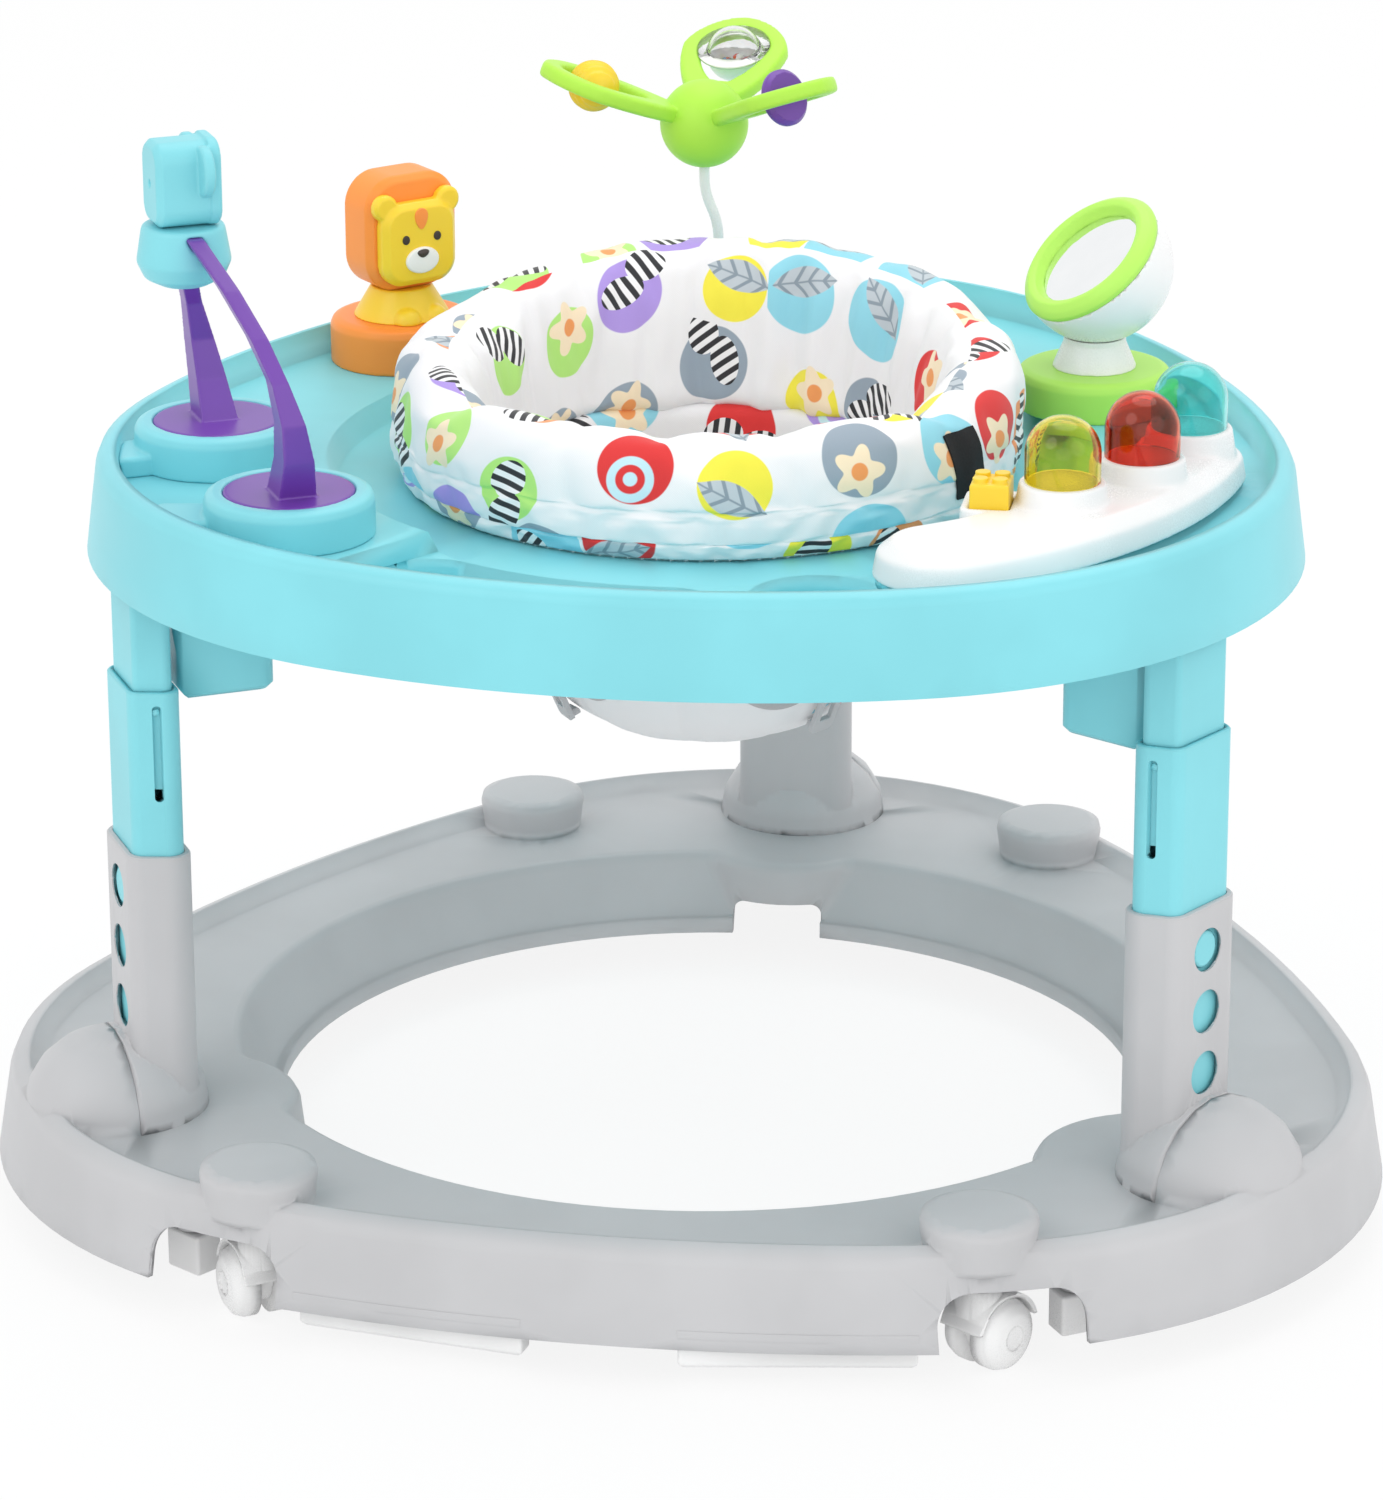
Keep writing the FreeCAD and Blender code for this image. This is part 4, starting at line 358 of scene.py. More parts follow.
def puffed(piece, sewn, pressure, slack, cap):
    """Fills a sewn cover for twenty steps of cloth simulation. No point moves farther than the cap."""
    before = [vertex.co.copy() for vertex in piece.data.vertices]
    held = piece.vertex_groups.new(name="sewn")
    held.add(sewn, 1.0, "REPLACE")
    cloth = piece.modifiers.new("cloth", "CLOTH")
    cloth.settings.quality = 8
    cloth.settings.mass = 0.15
    cloth.settings.tension_stiffness = 20
    cloth.settings.bending_stiffness = 0.4
    cloth.settings.use_pressure = True
    cloth.settings.uniform_pressure_force = pressure
    cloth.settings.effector_weights.gravity = 0
    cloth.settings.shrink_min = -slack
    cloth.settings.vertex_group_mass = "sewn"
    cloth.collision_settings.use_collision = False
    for step in range(1, 21):
        bpy.context.scene.frame_set(step)
    shown = piece.evaluated_get(bpy.context.evaluated_depsgraph_get())
    after = [vertex.co.copy() for vertex in shown.data.vertices]
    piece.modifiers.remove(cloth)
    piece.vertex_groups.remove(held)
    bpy.context.scene.frame_set(1)
    for vertex, start, end in zip(piece.data.vertices, before, after):
        move = end - start
        if move.length > cap * MM:
            move = move.normalized() * cap * MM
        vertex.co = start + move


def ripple(around, waves, across, along):
    """Noise with about this many waves round the seat. The two shifts pick its place."""
    return noise.noise(around * waves + Vector((*across, along)))


AROUND = 192
# Creased zones of the section, as shares of its points from the foot upwards and inwards.
FOOT_CREASES = (0.03, 0.22)
WALL_CREASES = (0.20, 0.56)
INNER_CREASES = (0.50, 0.74)
ring_angles = [2 * math.pi * number / AROUND for number in range(AROUND)]
sections = [closed_curve(rim_section(angle), 3) for angle in ring_angles]
girths = []
for section in sections:
    girth = [0.0]
    for start, end in zip(section, section[1:] + section[:1]):
        girth.append(girth[-1] + (end - start).length)
    girths.append(girth)
rim_rows = []
for number in range(len(sections[0])):
    row = []
    for angle, section in zip(ring_angles, sections):
        radius, height = section[number]
        before, after = section[number - 1], section[(number + 1) % len(section)]
        out = Vector((after.y - before.y, before.x - after.x)).normalized()
        share = number / len(section)
        around = Vector((math.cos(angle), math.sin(angle), 0))
        fold = 0.0
        start, end = INNER_CREASES
        if start < share < end:
            fade = min(1.0, (share - start) / 0.06, (end - share) / 0.03)
            tall = 0.5 + 0.5 * math.sin(angle)
            upright = ripple(around, 7.5, (0, 0), share * 3.0)
            narrow = 0.35 - abs(ripple(around, 11.0, (5, 0), share * 5.0))
            fold = fade * (0.8 + 1.6 * tall) * (1.7 * upright - 2.2 * narrow)
        start, end = WALL_CREASES
        if start < share < end:
            fade = min(1.0, (share - start) / 0.08, (end - share) / 0.05)
            crease = max(0.0, 0.2 - abs(ripple(around, 6.0, (7, 0), share * 2.5)))
            fold += fade * (1.8 * ripple(around, 3.2, (0, 3), share * 5.0)
                            + 1.1 * ripple(around, 8.0, (2, 0), share * 7.0) - 1.2 * crease / 0.2)
        start, end = FOOT_CREASES
        if start < share < end:
            fade = min(1.0, (share - start) / 0.03)
            fold += 1.2 * ripple(around, 17.0, (0, 8), share * 9.0) * fade
        row.append(around * (radius + out.x * fold) + Vector((0, 0, height + out.y * fold)) + SEAT_MIDDLE)
    rim_rows.append(row)

# Rows of the section where cloth is sewn to cloth, and the first row that is turned in.
FOOT_SEAM = 9
WALL_SEAM = 21
CREST_SEAM = 39
TURNED_IN = 54


def rim_mark(low, row, column):
    """Cloth coordinates. Foot band, outer wall and inner wall are three lengths of cloth."""
    angle = column / AROUND * 2 * math.pi
    high = girths[column % AROUND][row] / 100
    if low <= FOOT_SEAM:
        return (angle * 1.6 + 0.37, high)
    if low < CREST_SEAM:
        return (angle * 1.55, high + 0.22)
    return (angle * 1.28 + 0.21, high - 0.13)


rim = sheet_of("seat_rim_cover", rim_rows, rim_mark)
sewn_rows = [0, *range(FOOT_SEAM - 1, FOOT_SEAM + 2), *range(WALL_SEAM - 1, WALL_SEAM + 2),
             *range(TURNED_IN, len(rim_rows))]
puffed(rim, [row * AROUND + column for row in sewn_rows for column in range(AROUND)], 3.0, 0.03, 5.0)
only(rim)
finer = rim.modifiers.new("finer", "SUBSURF")
finer.levels = finer.render_levels = 1
bpy.ops.object.modifier_apply(modifier="finer")


def woven_cloth(name, printed):
    """White woven cloth, and its print: coloured discs with striped pebbles, leaves, stars and rings."""
    material, shader, place = new_finish(name, Specular_IOR_Level=0.35, Sheen_Weight=0.15)
    flat = place.node("ShaderNodeUVMap", {"uv_map": "cloth"})
    cells = place.node("ShaderNodeTexVoronoi", {"voronoi_dimensions": "2D"},
                       {"Vector": flat, "Scale": 1.85, "Randomness": 0.55}, 1)
    lots = cells.node("ShaderNodeSeparateColor", inputs={0: cells})
    kind, spin = lots.output(1), lots.output(2)
    local = flat.vector("SUBTRACT", cells.output(2))
    disc = local.length() - (lots * 0.05 + 0.165)
    disc_colour = lots.node("ShaderNodeValToRGB", {"steps": "CONSTANT", "stops": [
        (0.0, (0.93, 0.32, 0.12)), (0.16, (0.45, 0.80, 0.20)), (0.32, (0.90, 0.80, 0.06)),
        (0.46, (0.72, 0.03, 0.03)), (0.6, (0.42, 0.30, 0.74)), (0.74, (0.30, 0.37, 0.44)),
        (0.88, (0.28, 0.66, 0.78))]}, {0: lots})
    turned = place.node("ShaderNodeVectorRotate", {"rotation_type": "Z_AXIS"},
                        {"Vector": local.vector("ADD", (0.02, 0.07, 0.0)), "Angle": spin * 6.283})
    at = place.node("ShaderNodeSeparateXYZ", inputs={0: turned})
    across, along = at, at.output(1)
    reach = turned.length()

    def inside(edge):
        return edge.step(0.004, -0.004)

    threads = place.node("ShaderNodeSeparateXYZ", inputs={0: flat.vector("MULTIPLY", (520.0, 520.0, 0.0))})
    weave = threads.math("SINE") * threads.output(1).math("SINE")
    paper = weave.step(-1.0, 1.0).mix((0.835, 0.835, 0.848, 1.0), (0.865, 0.865, 0.876, 1.0))
    shade = inside(disc).mix(paper, disc_colour)
    # striped pebbles
    one = inside(((across * 7.5 + 0.45).power(2) + (along * 12.0 + 0.5).power(2)) - 1.0)
    two = inside(((across * 9.0 - 0.95).power(2) + (along * 11.0 - 0.7).power(2)) - 1.0)
    bars = inside((across * 95.0 + along * 40.0).math("SINE") * 0.02)
    pebble = one.math("MAXIMUM", two)
    striped = bars.mix((0.86, 0.86, 0.87, 1.0), (0.025, 0.025, 0.03, 1.0))
    # leaf
    rib = across.math("ABSOLUTE")
    leaf = inside(rib - (1.0 - (along * 5.2).power(2)) * 0.085)
    side_veins = inside((along * 70.0 + rib * 60.0).math("SINE") * 0.02 + 0.013)
    vein = inside(rib - 0.005).math("MAXIMUM", side_veins)
    leafy = vein.mix((0.50, 0.56, 0.60, 1.0), (0.25, 0.31, 0.36, 1.0))
    # star
    turn = along.math("ARCTAN2", across)
    star = inside(reach - (turn * 5.0).math("COSINE") * 0.028 - 0.115)
    starry = inside(reach - 0.045).mix((0.93, 0.78, 0.55, 1.0), (0.86, 0.33, 0.10, 1.0))
    # ring
    ring = inside((reach - 0.095).math("ABSOLUTE") - 0.022).math("MAXIMUM", inside(reach - 0.035))
    # one of the four on each disc
    pebble_lot = kind.math("LESS_THAN", 0.33)
    ring_lot = kind.math("GREATER_THAN", 0.78)
    middle = (1.0 - pebble_lot) * (1.0 - ring_lot)
    leaf_lot = middle * kind.math("LESS_THAN", 0.5)
    star_lot = middle * kind.math("GREATER_THAN", 0.4999)
    shade = (pebble * pebble_lot).mix(shade, striped)
    shade = (leaf * leaf_lot).mix(shade, leafy)
    shade = (star * star_lot).mix(shade, starry)
    shade = (ring * ring_lot).mix(shade, (0.55, 0.78, 0.85, 1.0))
    bump = place.node("ShaderNodeBump", inputs={"Strength": 0.2, "Distance": 0.08 * MM, "Height": weave})
    give(shader, Base_Color=shade if printed else paper, Roughness=weave * 0.04 + 0.62, Normal=bump)
    return material


cloth = woven_cloth("printed_cloth", True)
rim.data.materials.append(cloth)
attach(rim, "seat")
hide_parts("seat_rim_pad")

# Sewn label: a bare dark woven tab on the outside of the rim, front right. Rays from
# outside find its points, so that it lies close on the filled cloth.
rim_surface = BVHTree.FromObject(rim, bpy.context.evaluated_depsgraph_get())
LABEL_ROWS = 11
LABEL_COLUMNS = 7
LABEL_TOP = 431.0
LABEL_HEIGHT = 35.0
LABEL_TURN = 328.5
LABEL_WIDTH = 8.6
LABEL_SLANT = 2.0
LABEL_GAP = 1.4
label_points = []
for row in range(LABEL_ROWS):
    height = LABEL_TOP - LABEL_HEIGHT * row / (LABEL_ROWS - 1)
    line = []
    for column in range(LABEL_COLUMNS):
        angle = math.radians(LABEL_TURN + LABEL_SLANT * row / (LABEL_ROWS - 1)
                             + LABEL_WIDTH * column / (LABEL_COLUMNS - 1))
        out = Vector((math.cos(angle), math.sin(angle), 0))
        start = (SEAT_MIDDLE + out * 260 + Vector((0, 0, height))) * MM
        spot = rim_surface.ray_cast(start, -out)[0]
        line.append(spot / MM + out * LABEL_GAP)
    label_points.append(line)
for passes in range(3):
    for row in range(1, LABEL_ROWS - 1):
        for column in range(LABEL_COLUMNS):
            label_points[row][column] = (label_points[row - 1][column] + label_points[row][column] * 2
                                         + label_points[row + 1][column]) / 4
label_faces = []
for row in range(LABEL_ROWS - 1):
    for column in range(LABEL_COLUMNS - 1):
        corner = row * LABEL_COLUMNS + column
        label_faces.append((corner, corner + LABEL_COLUMNS, corner + LABEL_COLUMNS + 1, corner + 1))
label_mesh = bpy.data.meshes.new("seat_label")
label_mesh.from_pydata([point * MM for line in label_points for point in line], [], label_faces)
label = bpy.data.objects.new("seat_label", label_mesh)
bpy.context.collection.objects.link(label)
only(label)
thick = label.modifiers.new("thick", "SOLIDIFY")
thick.thickness = 1.0 * MM
bpy.ops.object.modifier_apply(modifier="thick")
bpy.ops.object.shade_smooth_by_angle(angle=math.radians(40))
woven, woven_shader, woven_place = new_finish("dark_woven_label", Specular_IOR_Level=0.2)
ribs = woven_place.speckle(900.0, 2.0)
give(woven_shader, Base_Color=ribs.mix((0.012, 0.012, 0.013, 1), (0.028, 0.028, 0.03, 1)),
     Roughness=ribs * 0.1 + 0.65)
label_mesh.materials.append(woven)
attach(label, "seat")

# Pouch: the same cloth, gathered into the ring and closed underneath, with two leg
# openings whose edges are bound with a grey tape.
POUCH = [(119, 381.5), (115, 380.5), (112.4, 376), (111.4, 364), (110.3, 346), (108, 325), (99.5, 303),
         (89.5, 282), (78, 263), (62, 250), (46, 244), (30, 241.5), (12, 240.6)]
pouch_curve = []
for number in range(len(POUCH) - 1):
    a, b, c, d = (Vector(POUCH[max(0, min(len(POUCH) - 1, number + shift))]) for shift in (-1, 0, 1, 2))
    for step in range(4):
        pouch_curve.append(curve_point(a, b, c, d, step / 4))
pouch_curve.append(Vector(POUCH[-1]))


def gathered(angle, radius, height):
    """Point of the cloth on one of its eight gathers."""
    place = (math.degrees(angle) % 45 - 22.5) / 22.5
    fade = min(1.0, max(0.0, (376 - height) / 45)) * min(1.0, radius / 80)
    full = 1 + 0.05 * (1 - place * place) * fade
    wave = 0.8 * noise.noise(Vector((math.cos(angle) * 9, math.sin(angle) * 9, height / 40)))
    wave *= min(1.0, radius / 90)
    out = Vector((math.cos(angle), math.sin(angle), 0))
    return out * (radius * full + wave) + Vector((0, 0, height)) + SEAT_MIDDLE


def hole_point(middle, side, up):
    """Point of the cloth beside and above the middle of a leg opening."""
    height = HOLE_HEIGHT + up
    for high, low in zip(pouch_curve, pouch_curve[1:]):
        if low.y <= height:
            radius = high.x + (low.x - high.x) * (high.y - height) / (high.y - low.y)
            break
    return gathered(middle + math.asin(side / radius), radius, height)


def pouch_mark(low, row, column):
    """Cloth coordinates of the pouch, counted down from its gathered edge."""
    return (column / AROUND * 2 * math.pi * 1.1 + 0.6, 0.2 - drop[row] / 100)


LEG_HOLES = (math.radians(232), math.radians(308))
HOLE_HEIGHT = 313.0
HOLE = 38.0
HOLE_EDGE = 1.9
pouch_rows = []
in_hole = []
for spot in pouch_curve:
    row = []
    for angle in ring_angles:
        point = gathered(angle, spot.x, spot.y)
        within = False
        for middle in LEG_HOLES:
            turn = (angle - middle + math.pi) % (2 * math.pi) - math.pi
            side, up = spot.x * math.sin(turn), spot.y - HOLE_HEIGHT
            distance = math.hypot(side, up)
            if abs(turn) < 1.2 and distance < HOLE + HOLE_EDGE:
                within = True
                if distance > HOLE - HOLE_EDGE:
                    point = hole_point(middle, side * HOLE / distance, up * HOLE / distance)
        row.append(point)
        in_hole.append(within)
    pouch_rows.append(row)
drop = [0.0]
for high, low in zip(pouch_curve, pouch_curve[1:]):
    drop.append(drop[-1] + (low - high).length)
pouch = sheet_of("seat_pouch_cloth", pouch_rows, pouch_mark, False)
work = bmesh.new()
work.from_mesh(pouch.data)
work.verts.ensure_lookup_table()
gone = [face for face in work.faces if all(in_hole[corner.index] for corner in face.verts)]
bmesh.ops.delete(work, geom=gone, context="FACES")
last_row = [edge for edge in work.edges if edge.is_boundary
            and all(corner.co.z < 241.2 * MM for corner in edge.verts)]
bmesh.ops.contextual_create(work, geom=last_row)
bmesh.ops.recalc_face_normals(work, faces=work.faces)
work.to_mesh(pouch.data)
work.free()
only(pouch)
thick = pouch.modifiers.new("thick", "SOLIDIFY")
thick.thickness = 1.2 * MM
thick.offset = 0.0
bpy.ops.object.modifier_apply(modifier="thick")
for face in pouch.data.polygons:
    face.use_smooth = True
pouch.data.materials.append(cloth)
pouch.data.materials.append(woven_cloth("plain_cloth", False))
# the bottom is cut from plain cloth, from one side over the front to the other
PLAIN_TOP = 300
PLAIN_START, PLAIN_END = 196, 322
for face in pouch.data.polygons:
    spot = face.center / MM - SEAT_MIDDLE
    turn = math.degrees(math.atan2(spot.y, spot.x)) % 360
    if spot.z < PLAIN_TOP and PLAIN_START < turn < PLAIN_END:
        face.material_index = 1
tape, tape_shader, tape_place = new_finish("grey_tape", Specular_IOR_Level=0.2)
ribs = tape_place.speckle(700.0, 2.0)
give(tape_shader, Base_Color=ribs.mix((0.42, 0.42, 0.43, 1), (0.52, 0.52, 0.53, 1)),
     Roughness=ribs * 0.1 + 0.7)
binding_points = []
binding_faces = []
TAPE_WIDE = 3.2
TAPE_THICK = 1.6
TAPE_STEPS = 72
TAPE_SIDES = 10
for middle in LEG_HOLES:
    first = len(binding_points)
    for number in range(TAPE_STEPS):
        turn = 2 * math.pi * number / TAPE_STEPS
        side, up = HOLE * math.cos(turn), HOLE * math.sin(turn)
        centre = hole_point(middle, side, up)
        nearer = hole_point(middle, side * 0.97, up * 0.97)
        ahead = hole_point(middle, HOLE * math.cos(turn + 0.05), HOLE * math.sin(turn + 0.05))
        flat = (nearer - centre).normalized()
        axis = (ahead - centre).normalized()
        out = axis.cross(flat).normalized()
        low = first + number * TAPE_SIDES
        high = first + (number + 1) % TAPE_STEPS * TAPE_SIDES
        for step in range(TAPE_SIDES):
            roll = 2 * math.pi * step / TAPE_SIDES
            binding_points.append((centre + flat * (TAPE_WIDE * math.cos(roll))
                                   + out * (TAPE_THICK * math.sin(roll))) * MM)
            after = (step + 1) % TAPE_SIDES
            binding_faces.append((low + step, high + step, high + after, low + after))
binding_mesh = bpy.data.meshes.new("leg_hole_bindings")
binding_mesh.from_pydata(binding_points, [], binding_faces)
work = bmesh.new()
work.from_mesh(binding_mesh)
bmesh.ops.recalc_face_normals(work, faces=work.faces)
work.to_mesh(binding_mesh)
work.free()
for face in binding_mesh.polygons:
    face.use_smooth = True
binding_mesh.materials.append(tape)
bindings = bpy.data.objects.new("leg_hole_bindings", binding_mesh)
bpy.context.collection.objects.link(bindings)
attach(bindings, "seat")
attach(pouch, "seat")
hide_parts("seat_pouch")

# Link toy: two turquoise drums with purple discs, whose bowed arms meet in a collar that
# carries a blocky animal head. All of it is moulded with soft edges, safe to chew on.
PURPLE = (0.155, 0.045, 0.37)
purple_plastic = moulded("purple_satin_plastic", PURPLE, roughness=0.34, depth=0.02, sheen=0.6)
softened(moulding("link_bases", turquoise_plastic), 0.9, 4)
softened(moulding("link_arm_front", purple_plastic), 0.7, 10)
softened(moulding("link_arm_back", purple_plastic), 0.7, 10)
softened(moulding("link_neck", turquoise_plastic), 0.6, 40)
softened(moulding("link_head", turquoise_plastic), 0.6, 8)

# Lion toy: an orange drum, a yellow sitting body and a head that spins on it. Its features
# are plain oval pads on the yellow face plate.
ORANGE = (1.0, 0.30, 0.05)
YELLOW = (0.93, 0.64, 0.03)
orange_plastic = moulded("orange_plastic", ORANGE, roughness=0.36, depth=0.02)
yellow_plastic = moulded("yellow_plastic", YELLOW, roughness=0.32, depth=0.02, sheen=0.5)
softened(moulding("lion_base", orange_plastic), 0.8, 6)
softened(moulding("lion_body", yellow_plastic), 0.6, 8)
softened(moulding("lion_head", orange_plastic), 0.7, 4)
lion_face = softened(moulding("lion_face", yellow_plastic), 0.6, 4)
LION_TURN = math.radians(-47)
LION_OUT = Vector((math.cos(LION_TURN), math.sin(LION_TURN), 0))
LION_ACROSS = Vector((-LION_OUT.y, LION_OUT.x, 0))
front = max(corner.co.dot(LION_OUT) for corner in lion_face.data.vertices)
flat = [corner.co for corner in lion_face.data.vertices if corner.co.dot(LION_OUT) > front - 0.6 * MM]
middle_across = sum(spot.dot(LION_ACROSS) for spot in flat) / len(flat)
face_middle = LION_OUT * front + LION_ACROSS * middle_across
face_middle.z = (max(spot.z for spot in flat) + min(spot.z for spot in flat)) / 2
lion_face_body = frame["nodes"]["lion_face"]["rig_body"]
SUNK = 0.8


def face_pad(name, across, up, wide, tall, rise, colour, narrowing=0.0):
    """Oval pad moulded on the lion's plain face, with a rounded rim. Its lower end may be narrower."""
    bpy.ops.object.select_all(action="DESELECT")
    bpy.ops.mesh.primitive_cylinder_add(vertices=40, radius=0.5, depth=1.0)
    piece = bpy.context.active_object
    piece.name = name
    bpy.ops.object.mode_set(mode="EDIT")
    bpy.ops.transform.resize(value=(wide * MM, tall * MM, (rise + SUNK) * MM))
    bpy.ops.mesh.select_all(action="DESELECT")
    bpy.ops.object.mode_set(mode="OBJECT")
    for face in piece.data.polygons:
        face.select = face.normal.z > 0.9
    bpy.ops.object.mode_set(mode="EDIT")
    bpy.ops.mesh.bevel(offset=rise * 0.8 * MM, segments=4, affect="EDGES")
    bpy.ops.object.mode_set(mode="OBJECT")
    for corner in piece.data.vertices:
        corner.co.x *= 1 + narrowing * corner.co.y / (tall * MM) * 2
    place = face_middle + (LION_ACROSS * across + Vector((0, 0, up)) + LION_OUT * (rise - SUNK) / 2) * MM
    turn = Matrix((LION_ACROSS, (0, 0, 1), LION_OUT)).transposed().to_4x4()
    piece.data.transform(Matrix.Translation(place) @ turn)
    piece.data.materials.append(moulded(name + "_plastic", colour, roughness=0.3, depth=0.01, sheen=0.5))
    only(piece)
    bpy.ops.object.shade_smooth_by_angle(angle=math.radians(50))
    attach(piece, lion_face_body)


face_pad("lion_muzzle", 0.0, -9.0, 21.0, 15.0, 1.6, (0.88, 0.87, 0.84))
face_pad("lion_nose", 0.0, -5.0, 8.0, 5.5, 2.6, (0.05, 0.035, 0.03), narrowing=0.35)
face_pad("lion_eye_left", -10.0, 3.5, 4.6, 5.2, 0.9, (0.035, 0.025, 0.02))
face_pad("lion_eye_right", 10.0, 3.5, 4.6, 5.2, 0.9, (0.035, 0.025, 0.02))
face_pad("lion_forehead", 0.0, 14.5, 8.0, 12.0, 0.7, ORANGE, narrowing=0.3)

# Mirror toy: a lime drum, a white foot and bowl, and a lime ring round a silvered sheet.
# The sheet is thin metallized plastic, so its reflection is a little hazy.
LIME = (0.47, 0.85, 0.13)
lime_plastic = moulded("lime_plastic", LIME, roughness=0.4, depth=0.02)
softened(moulding("mirror_base", lime_plastic), 0.8, 6)
softened(moulding("mirror_body", white_plastic), 0.6, 8)
moulding("mirror_bowl", white_plastic)
softened(moulding("mirror_frame", lime_plastic), 0.6, 12)
silvered, silvered_shader, silvered_place = new_finish("silvered_sheet", Metallic=1.0)
haze = silvered_place.speckle(60.0, 2.0)
give(silvered_shader, Base_Color=haze.mix((0.86, 0.88, 0.89, 1), (0.92, 0.93, 0.94, 1)),
     Roughness=haze * 0.05 + 0.02)
moulding("mirror_glass", silvered, crease=30)

# Light and sound toy: a white housing with three pedestals, a yellow key with four studs
# and three clear tinted domes.
softened(moulding("sound_housing", white_plastic), 0.9, 22)
softened(moulding("sound_key", yellow_plastic), 0.4, 3)


def clear_plastic(name, colour):
    """Clear tinted plastic, smooth on both faces."""
    material, shader, place = new_finish(name, Transmission_Weight=1.0, IOR=1.45)
    flow = place.speckle(35.0, 1.0)
    deeper = tuple(0.9 * part for part in colour) + (1.0,)
    give(shader, Base_Color=flow.mix(deeper, tuple(colour) + (1.0,)), Roughness=flow * 0.02 + 0.01)
    return material


for tint, colour in (("yellow", (0.98, 0.86, 0.16)), ("red", (0.93, 0.16, 0.06)),
                     ("teal", (0.30, 0.86, 0.85))):
    moulding("lamp_dome_" + tint, clear_plastic("clear_" + tint, colour), crease=40)

# Flower wand: a bent white stem with a soft lime flower of three petals. The flower is a
# soft rubbery moulding, so all its edges are rounded over.
GREEN = (0.45, 0.83, 0.075)
green_plastic = moulded("flower_green_plastic", GREEN, roughness=0.42, depth=0.02)
moulding("wand_base", turquoise_plastic)
softened(moulding("wand_stem", white_plastic), 0.5, 10)
softened(moulding("flower", green_plastic), 0.8, 16, thicker=1.1)
colourless = clear_plastic("clear_colourless", (0.97, 0.98, 0.98))
bubble = moulding("rattle_bubble", colourless, crease=80)
bubble.data.materials.append(white_plastic)
heights = [corner.co.z for corner in bubble.data.vertices]
for face in bubble.data.polygons:
    if face.center.z < (max(heights) + min(heights)) / 2:
        face.material_index = 1
beads = moulding("rattle_beads", white_plastic, crease=60)
for name, colour in (("red", (0.78, 0.06, 0.04)), ("blue", (0.05, 0.30, 0.72)), ("yellow", YELLOW)):
    beads.data.materials.append(moulded("bead_" + name, colour, roughness=0.25, depth=0.01, sheen=0.5))
BEAD_COUNT = 6
BEAD_COLOURS = 4
each = len(beads.data.polygons) // BEAD_COUNT
for number, face in enumerate(beads.data.polygons):
    face.material_index = (number // each) % BEAD_COLOURS
moulding("rattle_ball", yellow_plastic, crease=25)
moulding("spin_disc", purple_plastic, crease=40)

# Studio: a white floor and world, four large soft lamps and the camera of the photograph.
# The floor glows, more so for the camera, so that it looks as white as what is behind it.
world = bpy.data.worlds.new("studio")
bpy.context.scene.world = world
world.use_nodes = True
air = world.node_tree
background = air.nodes["Background"]
background.inputs["Color"].default_value = (1, 1, 1, 1)
rays = air.nodes.new("ShaderNodeLightPath")
seen = air.nodes.new("ShaderNodeMath")
seen.operation = "ADD"
seen.use_clamp = True
air.links.new(rays.outputs["Is Camera Ray"], seen.inputs[0])
through = air.nodes.new("ShaderNodeMath")
through.operation = "ADD"
air.links.new(rays.outputs["Is Glossy Ray"], through.inputs[0])
air.links.new(rays.outputs["Is Transmission Ray"], through.inputs[1])
air.links.new(through.outputs[0], seen.inputs[1])
strength = air.nodes.new("ShaderNodeMapRange")
air.links.new(seen.outputs[0], strength.inputs["Value"])
strength.inputs["To Min"].default_value = 0.97
strength.inputs["To Max"].default_value = 1.0
air.links.new(strength.outputs[0], background.inputs["Strength"])

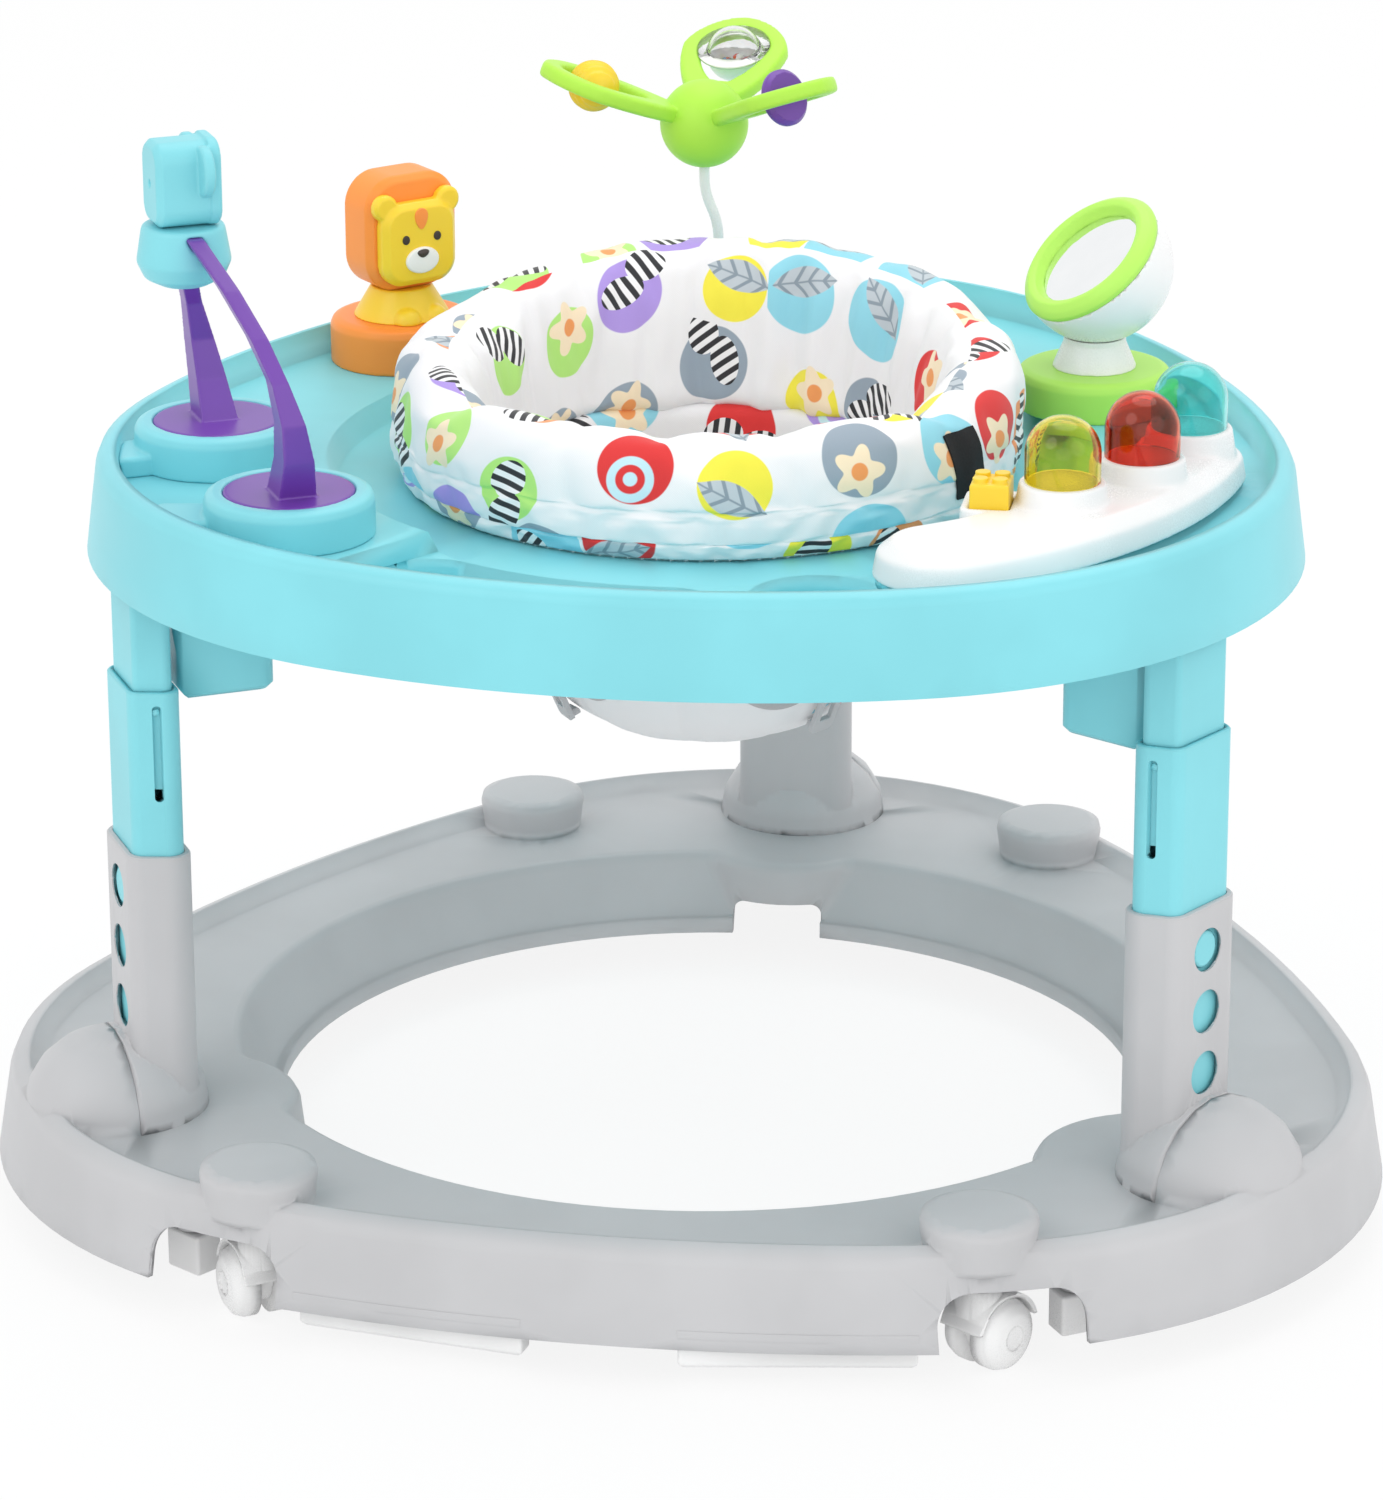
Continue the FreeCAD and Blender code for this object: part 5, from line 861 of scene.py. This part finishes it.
bpy.ops.object.select_all(action="DESELECT")
bpy.ops.mesh.primitive_plane_add(size=12.0, location=(0, 0, -0.0005))
floor = bpy.context.active_object
floor.name = "studio_floor"
floor_finish = bpy.data.materials.new("studio_floor")
floor_finish.use_nodes = True
ground = floor_finish.node_tree
ground.nodes["Principled BSDF"].inputs["Base Color"].default_value = (0.9, 0.9, 0.9, 1)
ground.nodes["Principled BSDF"].inputs["Roughness"].default_value = 0.9
ground.nodes["Principled BSDF"].inputs["Specular IOR Level"].default_value = 0.0
glow = ground.nodes.new("ShaderNodeEmission")
glow.inputs["Strength"].default_value = 1.0
blend = ground.nodes.new("ShaderNodeMixShader")
share = ground.nodes.new("ShaderNodeMath")
share.operation = "MULTIPLY_ADD"
share.inputs[1].default_value = 0.56
share.inputs[2].default_value = 0.30
path = ground.nodes.new("ShaderNodeLightPath")
ground.links.new(path.outputs["Is Camera Ray"], share.inputs[0])
ground.links.new(share.outputs[0], blend.inputs[0])
ground.links.new(ground.nodes["Principled BSDF"].outputs[0], blend.inputs[1])
ground.links.new(glow.outputs[0], blend.inputs[2])
ground.links.new(blend.outputs[0], ground.nodes["Material Output"].inputs["Surface"])
floor.data.materials.append(floor_finish)


def lamp(name, place, aim, size, power):
    bpy.ops.object.light_add(type="AREA", location=place)
    light = bpy.context.active_object
    light.name = name
    light.data.shape = "DISK"
    light.data.size = size
    light.data.energy = power
    light.rotation_euler = (Vector(aim) - Vector(place)).to_track_quat("-Z", "Y").to_euler()


lamp("key_light", (-1.6, -2.2, 2.6), (0, 0, 0.3), 2.2, 14)
lamp("fill_light", (2.4, -1.6, 1.6), (0, 0, 0.3), 2.4, 8)
lamp("front_light", (0.6, -3.2, 1.0), (0, 0, 0.3), 2.6, 8)
lamp("top_light", (0.2, 0.9, 3.0), (0, 0, 0.3), 2.6, 20)

PHOTO_HEIGHT = 1500
SENSOR = 36.0
FOCAL = 6112.8
PITCH = math.radians(19.773)
SIDE = math.radians(9.875)
ROLL = math.radians(-0.227)
DISTANCE = 3316.8 * MM
aim = Vector((-8.95, -31.56, 221.3)) * MM
away = Vector((math.sin(SIDE) * math.cos(PITCH), -math.cos(SIDE) * math.cos(PITCH), math.sin(PITCH)))
bpy.ops.object.camera_add(location=aim + away * DISTANCE)
camera = bpy.context.active_object
camera.name = "photo_camera"
turn = (-away).to_track_quat("-Z", "Y")
camera.rotation_mode = "QUATERNION"
camera.rotation_quaternion = turn @ Quaternion((0, 0, 1), ROLL)
camera.data.sensor_fit = "AUTO"
camera.data.sensor_width = SENSOR
camera.data.lens = FOCAL / PHOTO_HEIGHT * SENSOR
camera.data.clip_start = 0.1
camera.data.clip_end = 50
bpy.context.scene.camera = camera
bpy.context.scene.view_settings.view_transform = "Standard"
